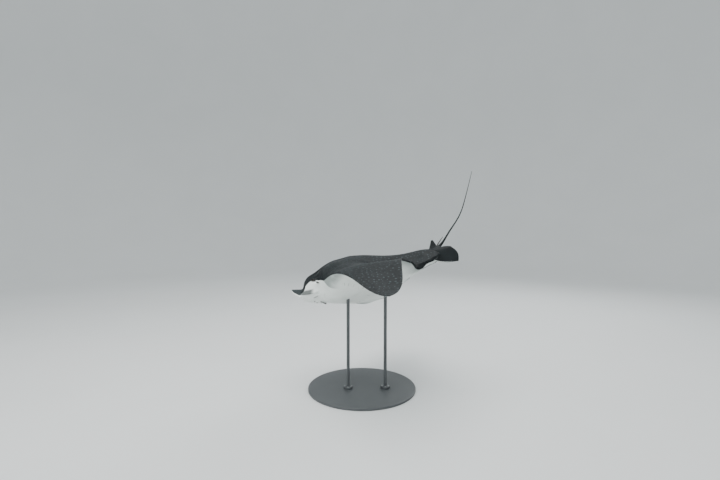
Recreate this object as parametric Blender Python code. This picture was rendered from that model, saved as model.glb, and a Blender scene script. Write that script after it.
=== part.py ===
"""Spotted eagle ray: a still, life-size display model, banking on a plain stand.

Blender 4.5, metres, +Z up. The ray heads along -Y and its left side is +X.
The body is designed flat, as fractions of the disc width: s is the distance back from the
snout tip and y the distance out from the midline. That flat body is then posed: the wings,
pelvic fins and tail are bent, and an empty leans the whole animal on its stand.
"""
import math

import bmesh
import bpy
import numpy as np
from mathutils import Matrix, Vector

# ---- driving sizes, in metres
DISC_WIDTH = 1.40
CUT_GAP = 0.0005            # air between two neighbouring pieces of the body
FIN_CLEARANCE = 0.0012      # from the facets of the tail root up to the dorsal fin's foot
SOCKET_CLEARANCE = 0.0006   # air round an eye in its socket
BODY_HEIGHT = 0.640         # height of the body's middle over the floor
BASE_RADIUS = 0.300
BASE_THICKNESS = 0.012
ROD_RADIUS = 0.009
ROD_DEPTH_IN_BODY = 0.035   # how far a rod goes up into the trunk
ROD_CLEARANCE = 0.0004      # air round a rod in its hole
COLLAR_RADIUS = 0.026
COLLAR_HEIGHT = 0.014
COLLAR_GAP = 0.0003         # between a collar and the base under it

# ---- how the model leans on the stand, in degrees
NOSE_DOWN = 14.7
BANK_TO_THE_RIGHT = 19.6
MIDDLE_STATION = 0.29       # the station that stays over the middle of the base

# ---- stations along the body, as fractions of the disc width
SNOUT_FRONT = 0.0
LOBE_END = 0.052
WING_FRONT = 0.150
WING_BACK = 0.545
TRUNK_END = 0.550
PELVIC_FRONT = 0.556
PELVIC_BACK = 0.604
HIP = 0.578                 # the pelvic fins follow the tail root's direction here
TAIL_ROOT_END = 0.610
TAIL_END = 1.160
TAIL_LENGTH_COUNT = 5
WING_SPLIT = 0.46           # where a wing is parted, as a share of its span
RODS_AT = (("stand_rod_front", 0.215), ("stand_rod_rear", 0.375))

# ---- eye
EYE_STATION = 0.1105
EYE_RADIUS = 0.0120
EYE_HEIGHT = 0.0055
EYE_SINK = 0.0099           # depth of its centre under the skin

# ---- dorsal fin and tail spine
DORSAL_FRONT = 0.573
DORSAL_LENGTH = 0.037
DORSAL_BEND = 0.58          # the fin stands square to the axis here
DORSAL_SHARES = (0, 0.25, 0.55, 0.75, 0.88, 1)
DORSAL_ALONG = (-0.007, 0.0054, 0.0164, 0.0222, 0.0250, 0.0285)
DORSAL_UP = (0.0150, 0.0328, 0.0480, 0.0458, 0.0330, 0.0185)
STING_FRONT = 0.617
STING_LENGTH = 0.0415
STING_TILT = 13             # degrees off the tail

# ---- pose: how steeply the wings slope, in degrees, from root to tip
SPAN_SHARES = (0, 0.08, 0.15, 0.20, 0.28, 0.36, 0.45, 0.60, 0.80, 1)
LEFT_LEADING_SLOPE = (-18, 6, -4, -8, -13, -17, -20, -25, -41, -33)
LEFT_TRAILING_SLOPE = (-18, -58, -42, 0, 35, 10, -25, -49, -40, -12)
RIGHT_LEADING_SLOPE = (-18, -23, -25, -25, -20, -14, -8, 6, -7, -23)
RIGHT_TRAILING_SLOPE = (-18, -14, -14, -14, -6, 2, 8, 7, 9, 3)
LEFT_PELVIC_SLOPE = -98
RIGHT_PELVIC_SLOPE = -50

# ---- pose: how the tail rises and swings to the right, in degrees
TAIL_STATIONS = (0, 0.38, 0.50, 0.565, 0.60, 0.63, 0.665, 0.72, 0.85, 1.0, TAIL_END)
TAIL_RISE = (0, 0, 10, -1, 21, 36, 46, 42, 50, 46, 37)
TAIL_SWING = (0, 0, -4, 7, 6, 2, -6, -20, -44, -55, -66)


# ---------------------------------------------------------------- curves and shape

def ease(x, start, end):
    """A smooth step from 0 at start to 1 at end."""
    t = np.clip((np.asarray(x, float) - start) / (end - start), 0, 1)
    return t * t * (3 - 2 * t)


def curve_through(xs, ys):
    """A smooth function through a few points that never overshoots them."""
    xs = np.array(xs, float)
    ys = np.array(ys, float)
    step = np.diff(xs)
    slope = np.diff(ys) / step
    tangent = np.zeros(len(xs))
    tangent[0] = slope[0]
    tangent[-1] = slope[-1]
    for i in range(1, len(xs) - 1):
        if slope[i - 1] * slope[i] > 0:
            before = 2 * step[i] + step[i - 1]
            after = step[i] + 2 * step[i - 1]
            tangent[i] = (before + after) / (before / slope[i - 1] + after / slope[i])

    def value(x):
        x = np.clip(np.asarray(x, float), xs[0], xs[-1])
        i = np.clip(np.searchsorted(xs, x) - 1, 0, len(xs) - 2)
        t = (x - xs[i]) / step[i]
        start = ys[i] * (2 * t**3 - 3 * t**2 + 1) + tangent[i] * step[i] * (t**3 - 2 * t**2 + t)
        return start + ys[i + 1] * (3 * t**2 - 2 * t**3) + tangent[i + 1] * step[i] * (t**3 - t**2)

    return value


# Seen from above: half the width of the snout lobe, head, trunk strip and tail.
half_width = curve_through(
    (0, 0.0012, 0.004, 0.014, 0.03, 0.045, 0.056, 0.07, 0.09, 0.118, 0.134, 0.15,
     0.20, 0.40, 0.50, 0.545, 0.58, 0.61, 0.65, 0.75, TAIL_END),
    (0.003, 0.0135, 0.024, 0.042, 0.055, 0.060, 0.066, 0.075, 0.081, 0.085, 0.091, 0.104,
     0.112, 0.085, 0.056, 0.036, 0.017, 0.0078, 0.0037, 0.0025, 0.0010))
# Seen from the side: height of the back and depth of the belly from the middle surface.
back_height = curve_through(
    (0, 0.02, 0.045, 0.052, 0.062, 0.08, 0.11, 0.15, 0.20, 0.25, 0.30, 0.40, 0.50, 0.56,
     0.61, 0.66, 0.75, TAIL_END),
    (0.001, 0.005, 0.008, 0.015, 0.036, 0.052, 0.061, 0.075, 0.086, 0.086, 0.077, 0.046, 0.023,
     0.015, 0.0073, 0.0037, 0.0026, 0.0010))
belly_depth = curve_through(
    (0, 0.02, 0.045, 0.06, 0.08, 0.11, 0.15, 0.20, 0.25, 0.30, 0.40, 0.50, 0.56,
     0.61, 0.66, 0.75, TAIL_END),
    (0.001, 0.012, 0.023, 0.034, 0.047, 0.061, 0.072, 0.076, 0.071, 0.060, 0.036, 0.019, 0.014,
     0.0073, 0.0037, 0.0026, 0.0010))
middle_height = curve_through(
    (0, 0.02, 0.045, 0.07, 0.10, 0.15, 0.3, 0.5, 0.6, TAIL_END),
    (0.008, -0.001, -0.008, -0.010, -0.010, -0.010, -0.006, 0, 0.003, 0.003))
# How far the sides of the snout lobe hang below its middle.
lobe_droop = curve_through((0, 0.02, 0.05, 0.08, 0.13), (0.003, 0.016, 0.028, 0.018, 0))
# A wing seen from above, by share of its span.
leading_edge = curve_through(
    (0, 0.06, 0.2, 0.4, 0.6, 0.8, 0.93, 1.0),
    (0.150, 0.166, 0.197, 0.2405, 0.284, 0.330, 0.368, 0.391))
trailing_edge = curve_through(
    (0, 0.04, 0.08, 0.115, 0.16, 0.21, 0.27, 0.36, 0.57, 0.78, 0.92, 1.0),
    (0.545, 0.590, 0.606, 0.592, 0.530, 0.487, 0.480, 0.452, 0.436, 0.423, 0.407, 0.392))
wing_thickness = curve_through((0, 0.2, 0.5, 0.8, 1.0), (0.060, 0.040, 0.019, 0.009, 0.003))
HALF_SPAN = 0.5
ROUNDNESS = 2.2             # exponent of the body's cross-section; 2 is an ellipse
ROOT_BLEND = (5, 0.06)    # how softly a wing root runs into the body: per depth, and at most
WING_ROOT_FRONT = 0.104     # half width at the front of the wing root
WING_ROOT_BACK = 0.036      # half width at its back
# The crest of the dorsal fin, by share of the length of its foot.
dorsal_along = curve_through(DORSAL_SHARES, DORSAL_ALONG)
dorsal_up = curve_through(DORSAL_SHARES, DORSAL_UP)
# A pelvic fin seen from above, by share of its length.
pelvic_outer_station = curve_through((0, 0.3, 0.7, 1), (PELVIC_FRONT, 0.586, 0.629, 0.664))
pelvic_outer_reach = curve_through((0, 0.3, 0.7, 1), (0, 0.034, 0.055, 0.064))
pelvic_inner_station = curve_through((0, 0.4, 0.75, 1), (PELVIC_BACK, 0.626, 0.643, 0.656))
pelvic_inner_reach = curve_through((0, 0.4, 0.75, 1), (0.004, 0.010, 0.016, 0.022))


def smooth_max(a, b, blend):
    """The larger of a and b, with the switch between them rounded off."""
    h = np.clip(0.5 + 0.5 * (a - b) / blend, 0, 1)
    return b + (a - b) * h + blend * h * (1 - h)


def aerofoil(chord):
    """Thickness along a wing's chord: round in front, thin behind."""
    chord = np.clip(chord, 0, 1)
    return 1.9 * np.sqrt(chord) * (1 - chord) ** 0.85


def edge_distance(s, reach):
    """How far a point lies inside the outline seen from above."""
    inward = (reach - WING_ROOT_FRONT) / (HALF_SPAN - WING_ROOT_FRONT)
    front = np.where(inward >= 0, leading_edge(np.clip(inward, 0, 1)), WING_FRONT + inward * 0.23)
    outward = (reach - WING_ROOT_BACK) / (HALF_SPAN - WING_ROOT_BACK)
    back = np.where(outward >= 0, trailing_edge(np.clip(outward, 0, 1)), WING_BACK)
    to_wing_edge = np.minimum((s - front) * 0.85, (back - s) * 0.9)
    to_side = half_width(s) - reach
    beside_wing = (s > WING_FRONT - 0.05) & (s < WING_BACK + 0.03)
    deepest = np.where(beside_wing, np.maximum(to_side, to_wing_edge), to_side)
    blend = np.clip(ROOT_BLEND[0] * deepest, 0, ROOT_BLEND[1]) * ease(s, 0.10, 0.15) + 1e-6
    blended = np.where(beside_wing, smooth_max(to_side, to_wing_edge, blend), to_side)
    return np.maximum(blended, 0)


def pelvic_half_thickness(length, chord):
    """Half thickness of a pelvic fin, by share of its length and of its width."""
    across = np.sqrt(np.clip(4 * chord * (1 - chord), 0, 1))
    return (0.006 * np.clip(1 - length, 0, 1) ** 0.7 + 0.0015) * across


def half_thickness(s, y, side, span, chord):
    """Height of the skin over the middle surface (side 1) or depth under it (side -1)."""
    reach = np.abs(y)
    bulk = np.where(side > 0, back_height(s), belly_depth(s))
    trunk = ease(s, 0.10, 0.24) * (1 - ease(s, 0.48, 0.56))
    rounding = half_width(s) * (1 - trunk) + 0.060 * trunk
    inset = np.clip(edge_distance(s, reach) / np.maximum(rounding, 1e-6), 0, 1)
    dome = np.sqrt(np.clip(1 - (1 - inset) ** ROUNDNESS, 0, 1))
    falloff = np.where(side < 0, 0.05 + 0.09 * (1 - ease(s, 0.20, 0.42)), 0.05)
    beside = 1 - ease(reach - half_width(s), 0, falloff)
    spread = (1 - trunk) * beside + trunk * np.clip(1 - (reach / 0.235) ** 2, 0, 1) ** 1.5
    body = bulk * spread * dome
    wing = wing_thickness(span) * aerofoil(chord) * np.where(side > 0, 0.55, 0.45)
    hip = pelvic_half_thickness(0, (s - PELVIC_FRONT) / (PELVIC_BACK - PELVIC_FRONT))
    hip = hip * np.clip(reach / half_width(s), 0, 1) ** 3
    return np.cbrt(body**3 + wing**3 + hip**3)


# ---------------------------------------------------------------- pose

def wing_slope(leading, trailing):
    """Slope of a wing in radians at a station and a reach."""
    at_front = curve_through(SPAN_SHARES, leading)
    at_back = curve_through(SPAN_SHARES, trailing)

    def slope(s, reach):
        span = np.clip((reach - 0.03) / 0.47, 0, 1)
        back = ease(s, 0.19, 0.47)
        degrees = at_front(span) * (1 - back) + at_back(span) * back
        return np.radians(degrees) * ease(reach, 0.0, 0.05)

    return slope


def tail_frames():
    """Position and directions of the body's axis: back, left and up, at fine steps."""
    stations = np.linspace(0, TAIL_END + 0.02, 400)
    rise = np.radians(curve_through(TAIL_STATIONS, TAIL_RISE)(stations))
    swing = np.radians(curve_through(TAIL_STATIONS, TAIL_SWING)(stations))
    back = np.stack([np.cos(rise) * np.sin(swing), np.cos(rise) * np.cos(swing), np.sin(rise)], 1)
    left = np.stack([np.cos(swing), -np.sin(swing), 0 * swing], 1)
    up = np.stack([-np.sin(rise) * np.sin(swing), -np.sin(rise) * np.cos(swing), np.cos(rise)], 1)
    steps = 0.5 * (back[1:] + back[:-1]) * (stations[1] - stations[0])
    axis = np.vstack([np.zeros(3), np.cumsum(steps, 0)])
    return stations, axis, back, left, up


STATIONS, AXIS, BACK, LEFT, UP = tail_frames()
LEFT_WING = wing_slope(LEFT_LEADING_SLOPE, LEFT_TRAILING_SLOPE)
RIGHT_WING = wing_slope(RIGHT_LEADING_SLOPE, RIGHT_TRAILING_SLOPE)


def at_station(s, vectors):
    """The vectors of the axis table, read at the stations s."""
    return np.stack([np.interp(s, STATIONS, vectors[:, k]) for k in range(3)], 1)


PLATE_LEFT, PLATE_UP = [at_station(np.array([DORSAL_BEND]), v)[0] for v in (LEFT, UP)]


def droop(s, reach, left_side, span):
    """Slope of the body's middle surface in radians."""
    wing = np.where(left_side, LEFT_WING(s, reach), RIGHT_WING(s, reach))
    hip = np.where(span > 0, 0, ease(s, WING_BACK, WING_BACK + 0.03))
    fin = np.radians(np.where(left_side, LEFT_PELVIC_SLOPE, RIGHT_PELVIC_SLOPE))
    return wing * (1 - hip) + fin * ease(reach, 0.010, 0.040) * hip


def posed(s, y, z, span):
    """Flat body coordinates to metres in the ray's own frame, by bending the flat body.
    span is a share of a wing's span, or if negative of a pelvic fin's length. Behind their roots
    the fins run on straight, beside the bend of the tail."""
    reach = np.abs(y)
    left_side = y >= 0
    slices = 24
    across = np.zeros_like(reach)
    rise = np.zeros_like(reach)
    for k in range(slices):
        slope = droop(s, reach * (k + 0.5) / slices, left_side, span)
        across += np.cos(slope) * reach / slices
        rise += np.sin(slope) * reach / slices
    slope = droop(s, reach, left_side, span)
    across = np.where(left_side, 1, -1) * (across - z * np.sin(slope))
    rise = rise + z * np.cos(slope)
    root_end = np.where(span > 0, WING_BACK, HIP)
    station = s + (np.minimum(s, root_end) - s) * np.where(span > 0, 1, ease(-span, 0, 0.35))
    point = at_station(station, AXIS) + at_station(station, BACK) * (s - station)[:, None]
    point = point + at_station(station, LEFT) * across[:, None] + at_station(station, UP) * rise[:, None]
    return point * DISC_WIDTH


def from_axis(station, along, up):
    """A point on the midline, in metres, by its distances back along and up from the body's
    axis at a station."""
    axis, back, lift = [at_station(np.array([station]), v)[0] for v in (AXIS, BACK, UP)]
    return (axis + along * back + up * lift) * DISC_WIDTH


def flat_height(s, y, side, span, chord):
    """Height of the skin over the flat body's plane, as a fraction of the disc width."""
    on_wing = half_thickness(s, y, side, np.maximum(span, 0), chord)
    thick = np.where(span < 0, pelvic_half_thickness(-span, chord), on_wing)
    reach = np.abs(y)
    middle = middle_height(s) * (1 - ease(reach, 0.08, 0.25))
    middle = middle - lobe_droop(s) * np.minimum(reach / half_width(s), 1) ** 2
    return middle + side * thick


def skin_point(s, y, side, span, chord):
    """Points of the posed skin, in metres."""
    return posed(s, y, flat_height(s, y, side, span, chord), span)


def top_point(s):
    """A point of the skin on the midline behind the trunk, in metres."""
    one = np.array([s])
    return posed(one, np.zeros(1), middle_height(one) + back_height(one), np.zeros(1))[0]


# ---------------------------------------------------------------- meshes

def material(name, colour, roughness, metallic=0.0):
    """A plain Principled material."""
    made = bpy.data.materials.new(name)
    made.use_nodes = True
    shader = made.node_tree.nodes["Principled BSDF"]
    shader.inputs["Base Color"].default_value = (*colour, 1.0)
    shader.inputs["Roughness"].default_value = roughness
    shader.inputs["Metallic"].default_value = metallic
    return made


def new_object(name, mesh_data, finish, parent=None):
    """An object for a bmesh of faces that all turn one way, which is made outward."""
    if mesh_data.calc_volume(signed=True) < 0:
        bmesh.ops.reverse_faces(mesh_data, faces=mesh_data.faces)
    mesh = bpy.data.meshes.new(name)
    mesh_data.to_mesh(mesh)
    mesh_data.free()
    mesh.materials.append(finish)
    made = bpy.data.objects.new(name, mesh)
    bpy.context.scene.collection.objects.link(made)
    made.parent = parent
    return made


def add_face(mesh_data, corners):
    """A face over the distinct corners given."""
    distinct = []
    for corner in corners:
        if corner not in distinct:
            distinct.append(corner)
    if len(distinct) > 2:
        mesh_data.faces.new(distinct)


def closed_sheet(name, grid, pinned, finish, parent):
    """A closed solid from a grid of points. Its two skins meet where the grid is pinned,
    and a wall joins them along the rest of its border."""
    s, y, span, chord = grid
    rows, columns = s.shape
    mesh_data = bmesh.new()
    sheets = []
    for side in (1, -1):
        sides = np.where(pinned.ravel(), 0, side)
        points = skin_point(s.ravel(), y.ravel(), sides, span.ravel(), chord.ravel())
        sheets.append(points.reshape(rows, columns, 3))
    top = [[mesh_data.verts.new(sheets[0][i, j]) for j in range(columns)] for i in range(rows)]
    bottom = [[top[i][j] if pinned[i, j] else mesh_data.verts.new(sheets[1][i, j])
               for j in range(columns)] for i in range(rows)]
    for i in range(rows - 1):
        for j in range(columns - 1):
            cell = ((i, j), (i, j + 1), (i + 1, j + 1), (i + 1, j))
            add_face(mesh_data, [top[a][b] for a, b in cell])
            add_face(mesh_data, [bottom[a][b] for a, b in reversed(cell)])
    border = [(i, 0) for i in range(rows)] + [(rows - 1, j) for j in range(1, columns)]
    border += [(i, columns - 1) for i in range(rows - 2, -1, -1)]
    border += [(0, j) for j in range(columns - 2, 0, -1)]
    order = s + 0.37 * np.abs(y)
    for a, b in zip(border, border[1:] + border[:1]):
        wall = (top[a[0]][a[1]], top[b[0]][b[1]], bottom[b[0]][b[1]], bottom[a[0]][a[1]])
        first = 0 if order[a] > order[b] else 1    # both sides of a cut share the diagonal
        add_face(mesh_data, [wall[(first + k) % 4] for k in (0, 1, 2)])
        add_face(mesh_data, [wall[(first + k) % 4] for k in (0, 2, 3)])
    return new_object(name, mesh_data, finish, parent)


def trim(stations, front=0.0, back=0.0):
    """Stations with their ends drawn in by half a cut."""
    stations = np.array(stations, float)
    stations[0] += front
    stations[-1] -= back
    return stations


HALF_CUT = 0.5 * CUT_GAP / DISC_WIDTH


def body_length(name, stations, columns, finish, parent, ends=(False, False), open_side=(1, 0)):
    """A length of the head, trunk or tail. Its sides are open between the open_side stations,
    where a fin is parted from it, and an end may close to an edge."""
    shares = np.sin(np.linspace(-np.pi / 2, np.pi / 2, columns + 1))
    s = np.repeat(stations[:, None], columns + 1, 1)
    y = half_width(s) * shares
    is_open = (stations > open_side[0] + 1e-5) & (stations < open_side[1] - 1e-5)
    y[is_open, 0] += HALF_CUT
    y[is_open, -1] -= HALF_CUT
    chord = np.clip((s - WING_FRONT) / (WING_BACK - WING_FRONT), 0, 1)
    pinned = np.zeros(s.shape, bool)
    pinned[~is_open, 0] = True
    pinned[~is_open, -1] = True
    pinned[0] |= ends[0]
    pinned[-1] |= ends[1]
    return closed_sheet(name, (s, y, np.zeros(s.shape), chord), pinned, finish, parent)


def chord_shares(count):
    """Shares along a chord, closer together near its two edges."""
    even = np.linspace(0, 1, count + 1)
    return 0.45 * even + 0.55 * (0.5 - 0.5 * np.cos(np.pi * even))


def wing_length(name, hand, spans, finish, parent):
    """A length of a wing between two shares of its span. hand is 1 for the left wing."""
    chord, span = np.meshgrid(chord_shares(22), spans, indexing="ij")
    root_station = WING_FRONT + chord * (WING_BACK - WING_FRONT)
    s = leading_edge(span) + chord * (trailing_edge(span) - leading_edge(span))
    s = np.where(span > 0, s, root_station)
    y = half_width(root_station) * (1 - span) + HALF_SPAN * span
    y[:, 0] += HALF_CUT
    if spans[-1] < 1:
        y[:, -1] -= HALF_CUT
    pinned = np.zeros(s.shape, bool)
    pinned[0] = True
    pinned[-1] = True
    pinned[:, -1] |= spans[-1] == 1
    return closed_sheet(name, (s, hand * y, span, chord), pinned, finish, parent)


def pelvic_fin(name, hand, finish, parent):
    """A pelvic fin, from its root on the tail root's side to its free end."""
    chord, length = np.meshgrid(np.linspace(0, 1, 9), np.linspace(0, 1, 9), indexing="ij")
    root_station = PELVIC_FRONT + chord * (PELVIC_BACK - PELVIC_FRONT)
    bulge = 0.012 * np.sin(np.pi * chord) * length**3
    s = pelvic_outer_station(length) * (1 - chord) + pelvic_inner_station(length) * chord + bulge
    outer = half_width(PELVIC_FRONT) + pelvic_outer_reach(length)
    inner = half_width(PELVIC_BACK) + pelvic_inner_reach(length)
    y = outer * (1 - chord) + inner * chord
    at_root = length == 0
    s = np.where(at_root, root_station, s)
    y = np.where(at_root, half_width(root_station) + HALF_CUT, y)
    pinned = (chord == 0) | (chord == 1) | (length == 1)
    grid = (s, hand * y, -length, np.where(at_root, 1, chord))
    return closed_sheet(name, grid, pinned, finish, parent)


def upright_plate(name, outline, half_thick, finish, parent):
    """A thin upright fin on the midline. outline gives its foot and crest in metres for each
    share of its length, and half_thick its half thickness as a fraction of the disc width."""
    mesh_data = bmesh.new()
    rings = []
    for share in np.linspace(0, 1, 9):
        foot, crest = outline(share)
        ring = []
        for up_share, hand in ((0, 1), (0.35, 1), (0.7, 1), (1, 0), (0.7, -1), (0.35, -1), (0, -1)):
            point = foot + (crest - foot) * up_share
            point = point + PLATE_LEFT * hand * half_thick(share, up_share) * DISC_WIDTH
            ring.append(mesh_data.verts.new(point))
        rings.append(ring)
    for a, b in zip(rings, rings[1:]):
        for k in range(len(a)):
            after = (k + 1) % len(a)
            add_face(mesh_data, (a[k], b[k], b[after], a[after]))
    add_face(mesh_data, rings[0])
    add_face(mesh_data, rings[-1][::-1])
    return new_object(name, mesh_data, finish, parent)


def dorsal_fin(finish, parent):
    """The small swept fin on top of the tail root. Its foot follows the skin."""
    def outline(share):
        foot = top_point(DORSAL_FRONT + DORSAL_LENGTH * share) + PLATE_UP * FIN_CLEARANCE
        return foot, from_axis(DORSAL_BEND, dorsal_along(share), dorsal_up(share))

    def half_thick(share, up_share):
        return 0.0020 * (1 - 0.75 * up_share) * (0.35 + 0.65 * math.sin(math.pi * (0.12 + 0.76 * share)))

    return upright_plate("dorsal_fin", outline, half_thick, finish, parent)


def sting(finish, parent):
    """The flat spine that rises straight off the tail behind the dorsal fin."""
    tilt = math.radians(STING_TILT)
    start = from_axis(STING_FRONT, 0, middle_height(STING_FRONT) + back_height(STING_FRONT) + 0.0008)
    along = from_axis(STING_FRONT, math.cos(tilt), math.sin(tilt)) - from_axis(STING_FRONT, 0, 0)
    up = from_axis(STING_FRONT, -math.sin(tilt), math.cos(tilt)) - from_axis(STING_FRONT, 0, 0)

    def outline(share):
        foot = start + along * STING_LENGTH * share
        return foot, foot + up * (0.0036 * (1 - share) ** 0.5 + 0.0010)

    def half_thick(share, up_share):
        return (0.0046 * (1 - share) ** 0.45 + 0.0006) * (1 - 0.4 * up_share)

    return upright_plate("sting", outline, half_thick, finish, parent)


def eye_place(hand):
    """Centre of an eye, in metres in the ray's frame, a little under the skin."""
    s = np.full(400, EYE_STATION)
    reach = np.linspace(0, half_width(EYE_STATION), 400)
    height = flat_height(s, reach, np.ones(400), np.zeros(400), np.zeros(400))
    skin_reach = reach[height >= EYE_HEIGHT].max()
    s, y, z = [np.array([float(v)]) for v in (EYE_STATION, hand * (skin_reach - EYE_SINK), EYE_HEIGHT)]
    return Vector(posed(s, y, z, np.zeros(1))[0])


def ball(name, centre, radius, finish, parent, segments=14, rings=9):
    """A closed ball whose origin is its centre."""
    mesh_data = bmesh.new()
    bmesh.ops.create_uvsphere(mesh_data, u_segments=segments, v_segments=rings, radius=radius)
    made = new_object(name, mesh_data, finish, parent)
    made.location = centre
    made.rotation_euler = (0.0, math.pi / 2, 0.0)
    return made


def cut_away(target, cutter):
    """Take the cutter's shape out of the target."""
    cutter.hide_render = True
    cutter.display_type = "WIRE"
    boolean = target.modifiers.new("cut_" + cutter.name, "BOOLEAN")
    boolean.operation = "DIFFERENCE"
    boolean.object = cutter


def turned(name, profile, finish, segments):
    """A closed solid turned round the vertical axis from its (radius, height) profile."""
    mesh_data = bmesh.new()
    rings = []
    for radius, height in profile:
        ring = []
        for k in range(segments):
            angle = 2 * math.pi * k / segments
            ring.append(mesh_data.verts.new((radius * math.cos(angle), radius * math.sin(angle), height)))
        rings.append(ring)
    for a, b in zip(rings, rings[1:]):
        for k in range(segments):
            mesh_data.faces.new((a[k], a[(k + 1) % segments], b[(k + 1) % segments], b[k]))
    mesh_data.faces.new(rings[0][::-1])
    mesh_data.faces.new(rings[-1])
    return new_object(name, mesh_data, finish)


# ---------------------------------------------------------------- the model

def clear_scene():
    """Remove whatever the scene holds."""
    for old in list(bpy.data.objects):
        bpy.data.objects.remove(old, do_unlink=True)


def pose_empty():
    """The empty that leans the ray and holds its middle over the stand."""
    lean = Matrix.Rotation(math.radians(NOSE_DOWN), 4, "X")
    lean = lean @ Matrix.Rotation(math.radians(-BANK_TO_THE_RIGHT), 4, "Y")
    middle = Vector(from_axis(MIDDLE_STATION, 0, 0))
    shift = Vector((0, 0, BODY_HEIGHT)) - lean @ middle
    empty = bpy.data.objects.new("ray_pose", None)
    bpy.context.scene.collection.objects.link(empty)
    empty.matrix_world = Matrix.Translation(shift) @ lean
    return empty


def build_body(skin, parent):
    """Head, trunk and tail lengths."""
    snout = trim(SNOUT_FRONT + (LOBE_END - SNOUT_FRONT) * np.linspace(0, 1, 8) ** 1.2, back=HALF_CUT)
    body_length("snout_lobe", snout, 12, skin, parent, ends=(True, False))
    head = trim(np.linspace(LOBE_END, WING_FRONT, 11), HALF_CUT, HALF_CUT)
    head_piece = body_length("head", head, 16, skin, parent)
    along = WING_FRONT + chord_shares(22) * (WING_BACK - WING_FRONT)
    trunk_stations = np.append(along, TRUNK_END)
    trunk_stations[0] += HALF_CUT
    trunk_stations[-1] -= HALF_CUT
    trunk = body_length("trunk", trunk_stations, 14, skin, parent,
                        open_side=(along[0] + HALF_CUT, WING_BACK))
    root = [TRUNK_END] + list(np.linspace(PELVIC_FRONT, PELVIC_BACK, 9)) + [TAIL_ROOT_END]
    body_length("tail_root", trim(root, HALF_CUT, HALF_CUT), 12, skin, parent,
                open_side=(PELVIC_FRONT, PELVIC_BACK))
    cuts = TAIL_ROOT_END + (TAIL_END - TAIL_ROOT_END) * np.linspace(0, 1, TAIL_LENGTH_COUNT + 1) ** 1.3
    for k in range(TAIL_LENGTH_COUNT):
        last = k == TAIL_LENGTH_COUNT - 1
        piece = trim(np.linspace(cuts[k], cuts[k + 1], 7), HALF_CUT, 0 if last else HALF_CUT)
        body_length(f"tail_length_{k + 1}", piece, 8, skin, parent, ends=(False, last))
    return head_piece, trunk


def build_fins(skin, parent):
    """Wings in two lengths each, pelvic fins, dorsal fin."""
    inner = WING_SPLIT * np.linspace(0, 1, 12) ** 1.25
    outer = np.linspace(WING_SPLIT, 1, 6)
    for hand, side in ((1, "left"), (-1, "right")):
        wing_length(f"wing_inner_{side}", hand, inner, skin, parent)
        wing_length(f"wing_outer_{side}", hand, outer, skin, parent)
        pelvic_fin(f"pelvic_fin_{side}", hand, skin, parent)
    dorsal_fin(skin, parent)


def build_eyes(head_piece, finish, parent):
    """Both eyes, in sockets cut into the head."""
    for hand, side in ((1, "left"), (-1, "right")):
        centre = eye_place(hand)
        radius = EYE_RADIUS * DISC_WIDTH
        ball(f"eye_{side}", centre, radius, finish, parent)
        socket = ball(f"cutter_socket_{side}", centre, radius + SOCKET_CLEARANCE, finish, parent)
        cut_away(head_piece, socket)


def build_stand(trunk, pose, finish):
    """Round base and two upright rods that end in holes in the trunk."""
    edge = 0.003
    turned("stand_base",
           ((BASE_RADIUS, 0), (BASE_RADIUS, BASE_THICKNESS - edge),
            (BASE_RADIUS - edge, BASE_THICKNESS)), finish, 64)
    for name, station in RODS_AT:
        one = np.array([station])
        chord = (one - WING_FRONT) / (WING_BACK - WING_FRONT)
        belly = skin_point(one, np.zeros(1), np.array([-1]), np.zeros(1), chord)[0]
        foot = pose.matrix_world @ Vector(belly)
        top = foot.z + ROD_DEPTH_IN_BODY
        start = BASE_THICKNESS + COLLAR_GAP
        rod = turned(name, ((COLLAR_RADIUS, start), (COLLAR_RADIUS, start + 0.7 * COLLAR_HEIGHT),
                            (COLLAR_RADIUS * 0.8, start + COLLAR_HEIGHT), (ROD_RADIUS, start + COLLAR_HEIGHT),
                            (ROD_RADIUS, top)), finish, 24)
        rod.location = (foot.x, foot.y, 0)
        hole = turned("cutter_" + name, ((ROD_RADIUS + ROD_CLEARANCE, foot.z - 0.12),
                                         (ROD_RADIUS + ROD_CLEARANCE, top + ROD_CLEARANCE)), finish, 24)
        hole.location = (foot.x, foot.y, 0)
        cut_away(trunk, hole)


def main():
    clear_scene()
    skin = material("skin", (0.020, 0.022, 0.026), 0.45)
    eye = material("eye", (0.01, 0.01, 0.012), 0.1)
    bone = material("sting", (0.10, 0.09, 0.08), 0.6)
    steel = material("stand_steel", (0.05, 0.05, 0.055), 0.4, 0.8)
    pose = pose_empty()
    bpy.context.view_layer.update()
    head_piece, trunk = build_body(skin, pose)
    build_fins(skin, pose)
    build_eyes(head_piece, eye, pose)
    sting(bone, pose)
    build_stand(trunk, pose, steel)


main()
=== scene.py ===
"""Looks of a life-size spotted eagle ray on its display stand.

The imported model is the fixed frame. One skin replaces all its flesh, and the eyes, the tail
spine and the stand get fine pieces of their own. Metres, +Z up; the ray heads along -Y and its
left side is +X. The body is designed flat, as fractions of the disc width: s is the distance
back from the snout tip and y the distance out from the midline. It is then posed by bending.
"""

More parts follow.
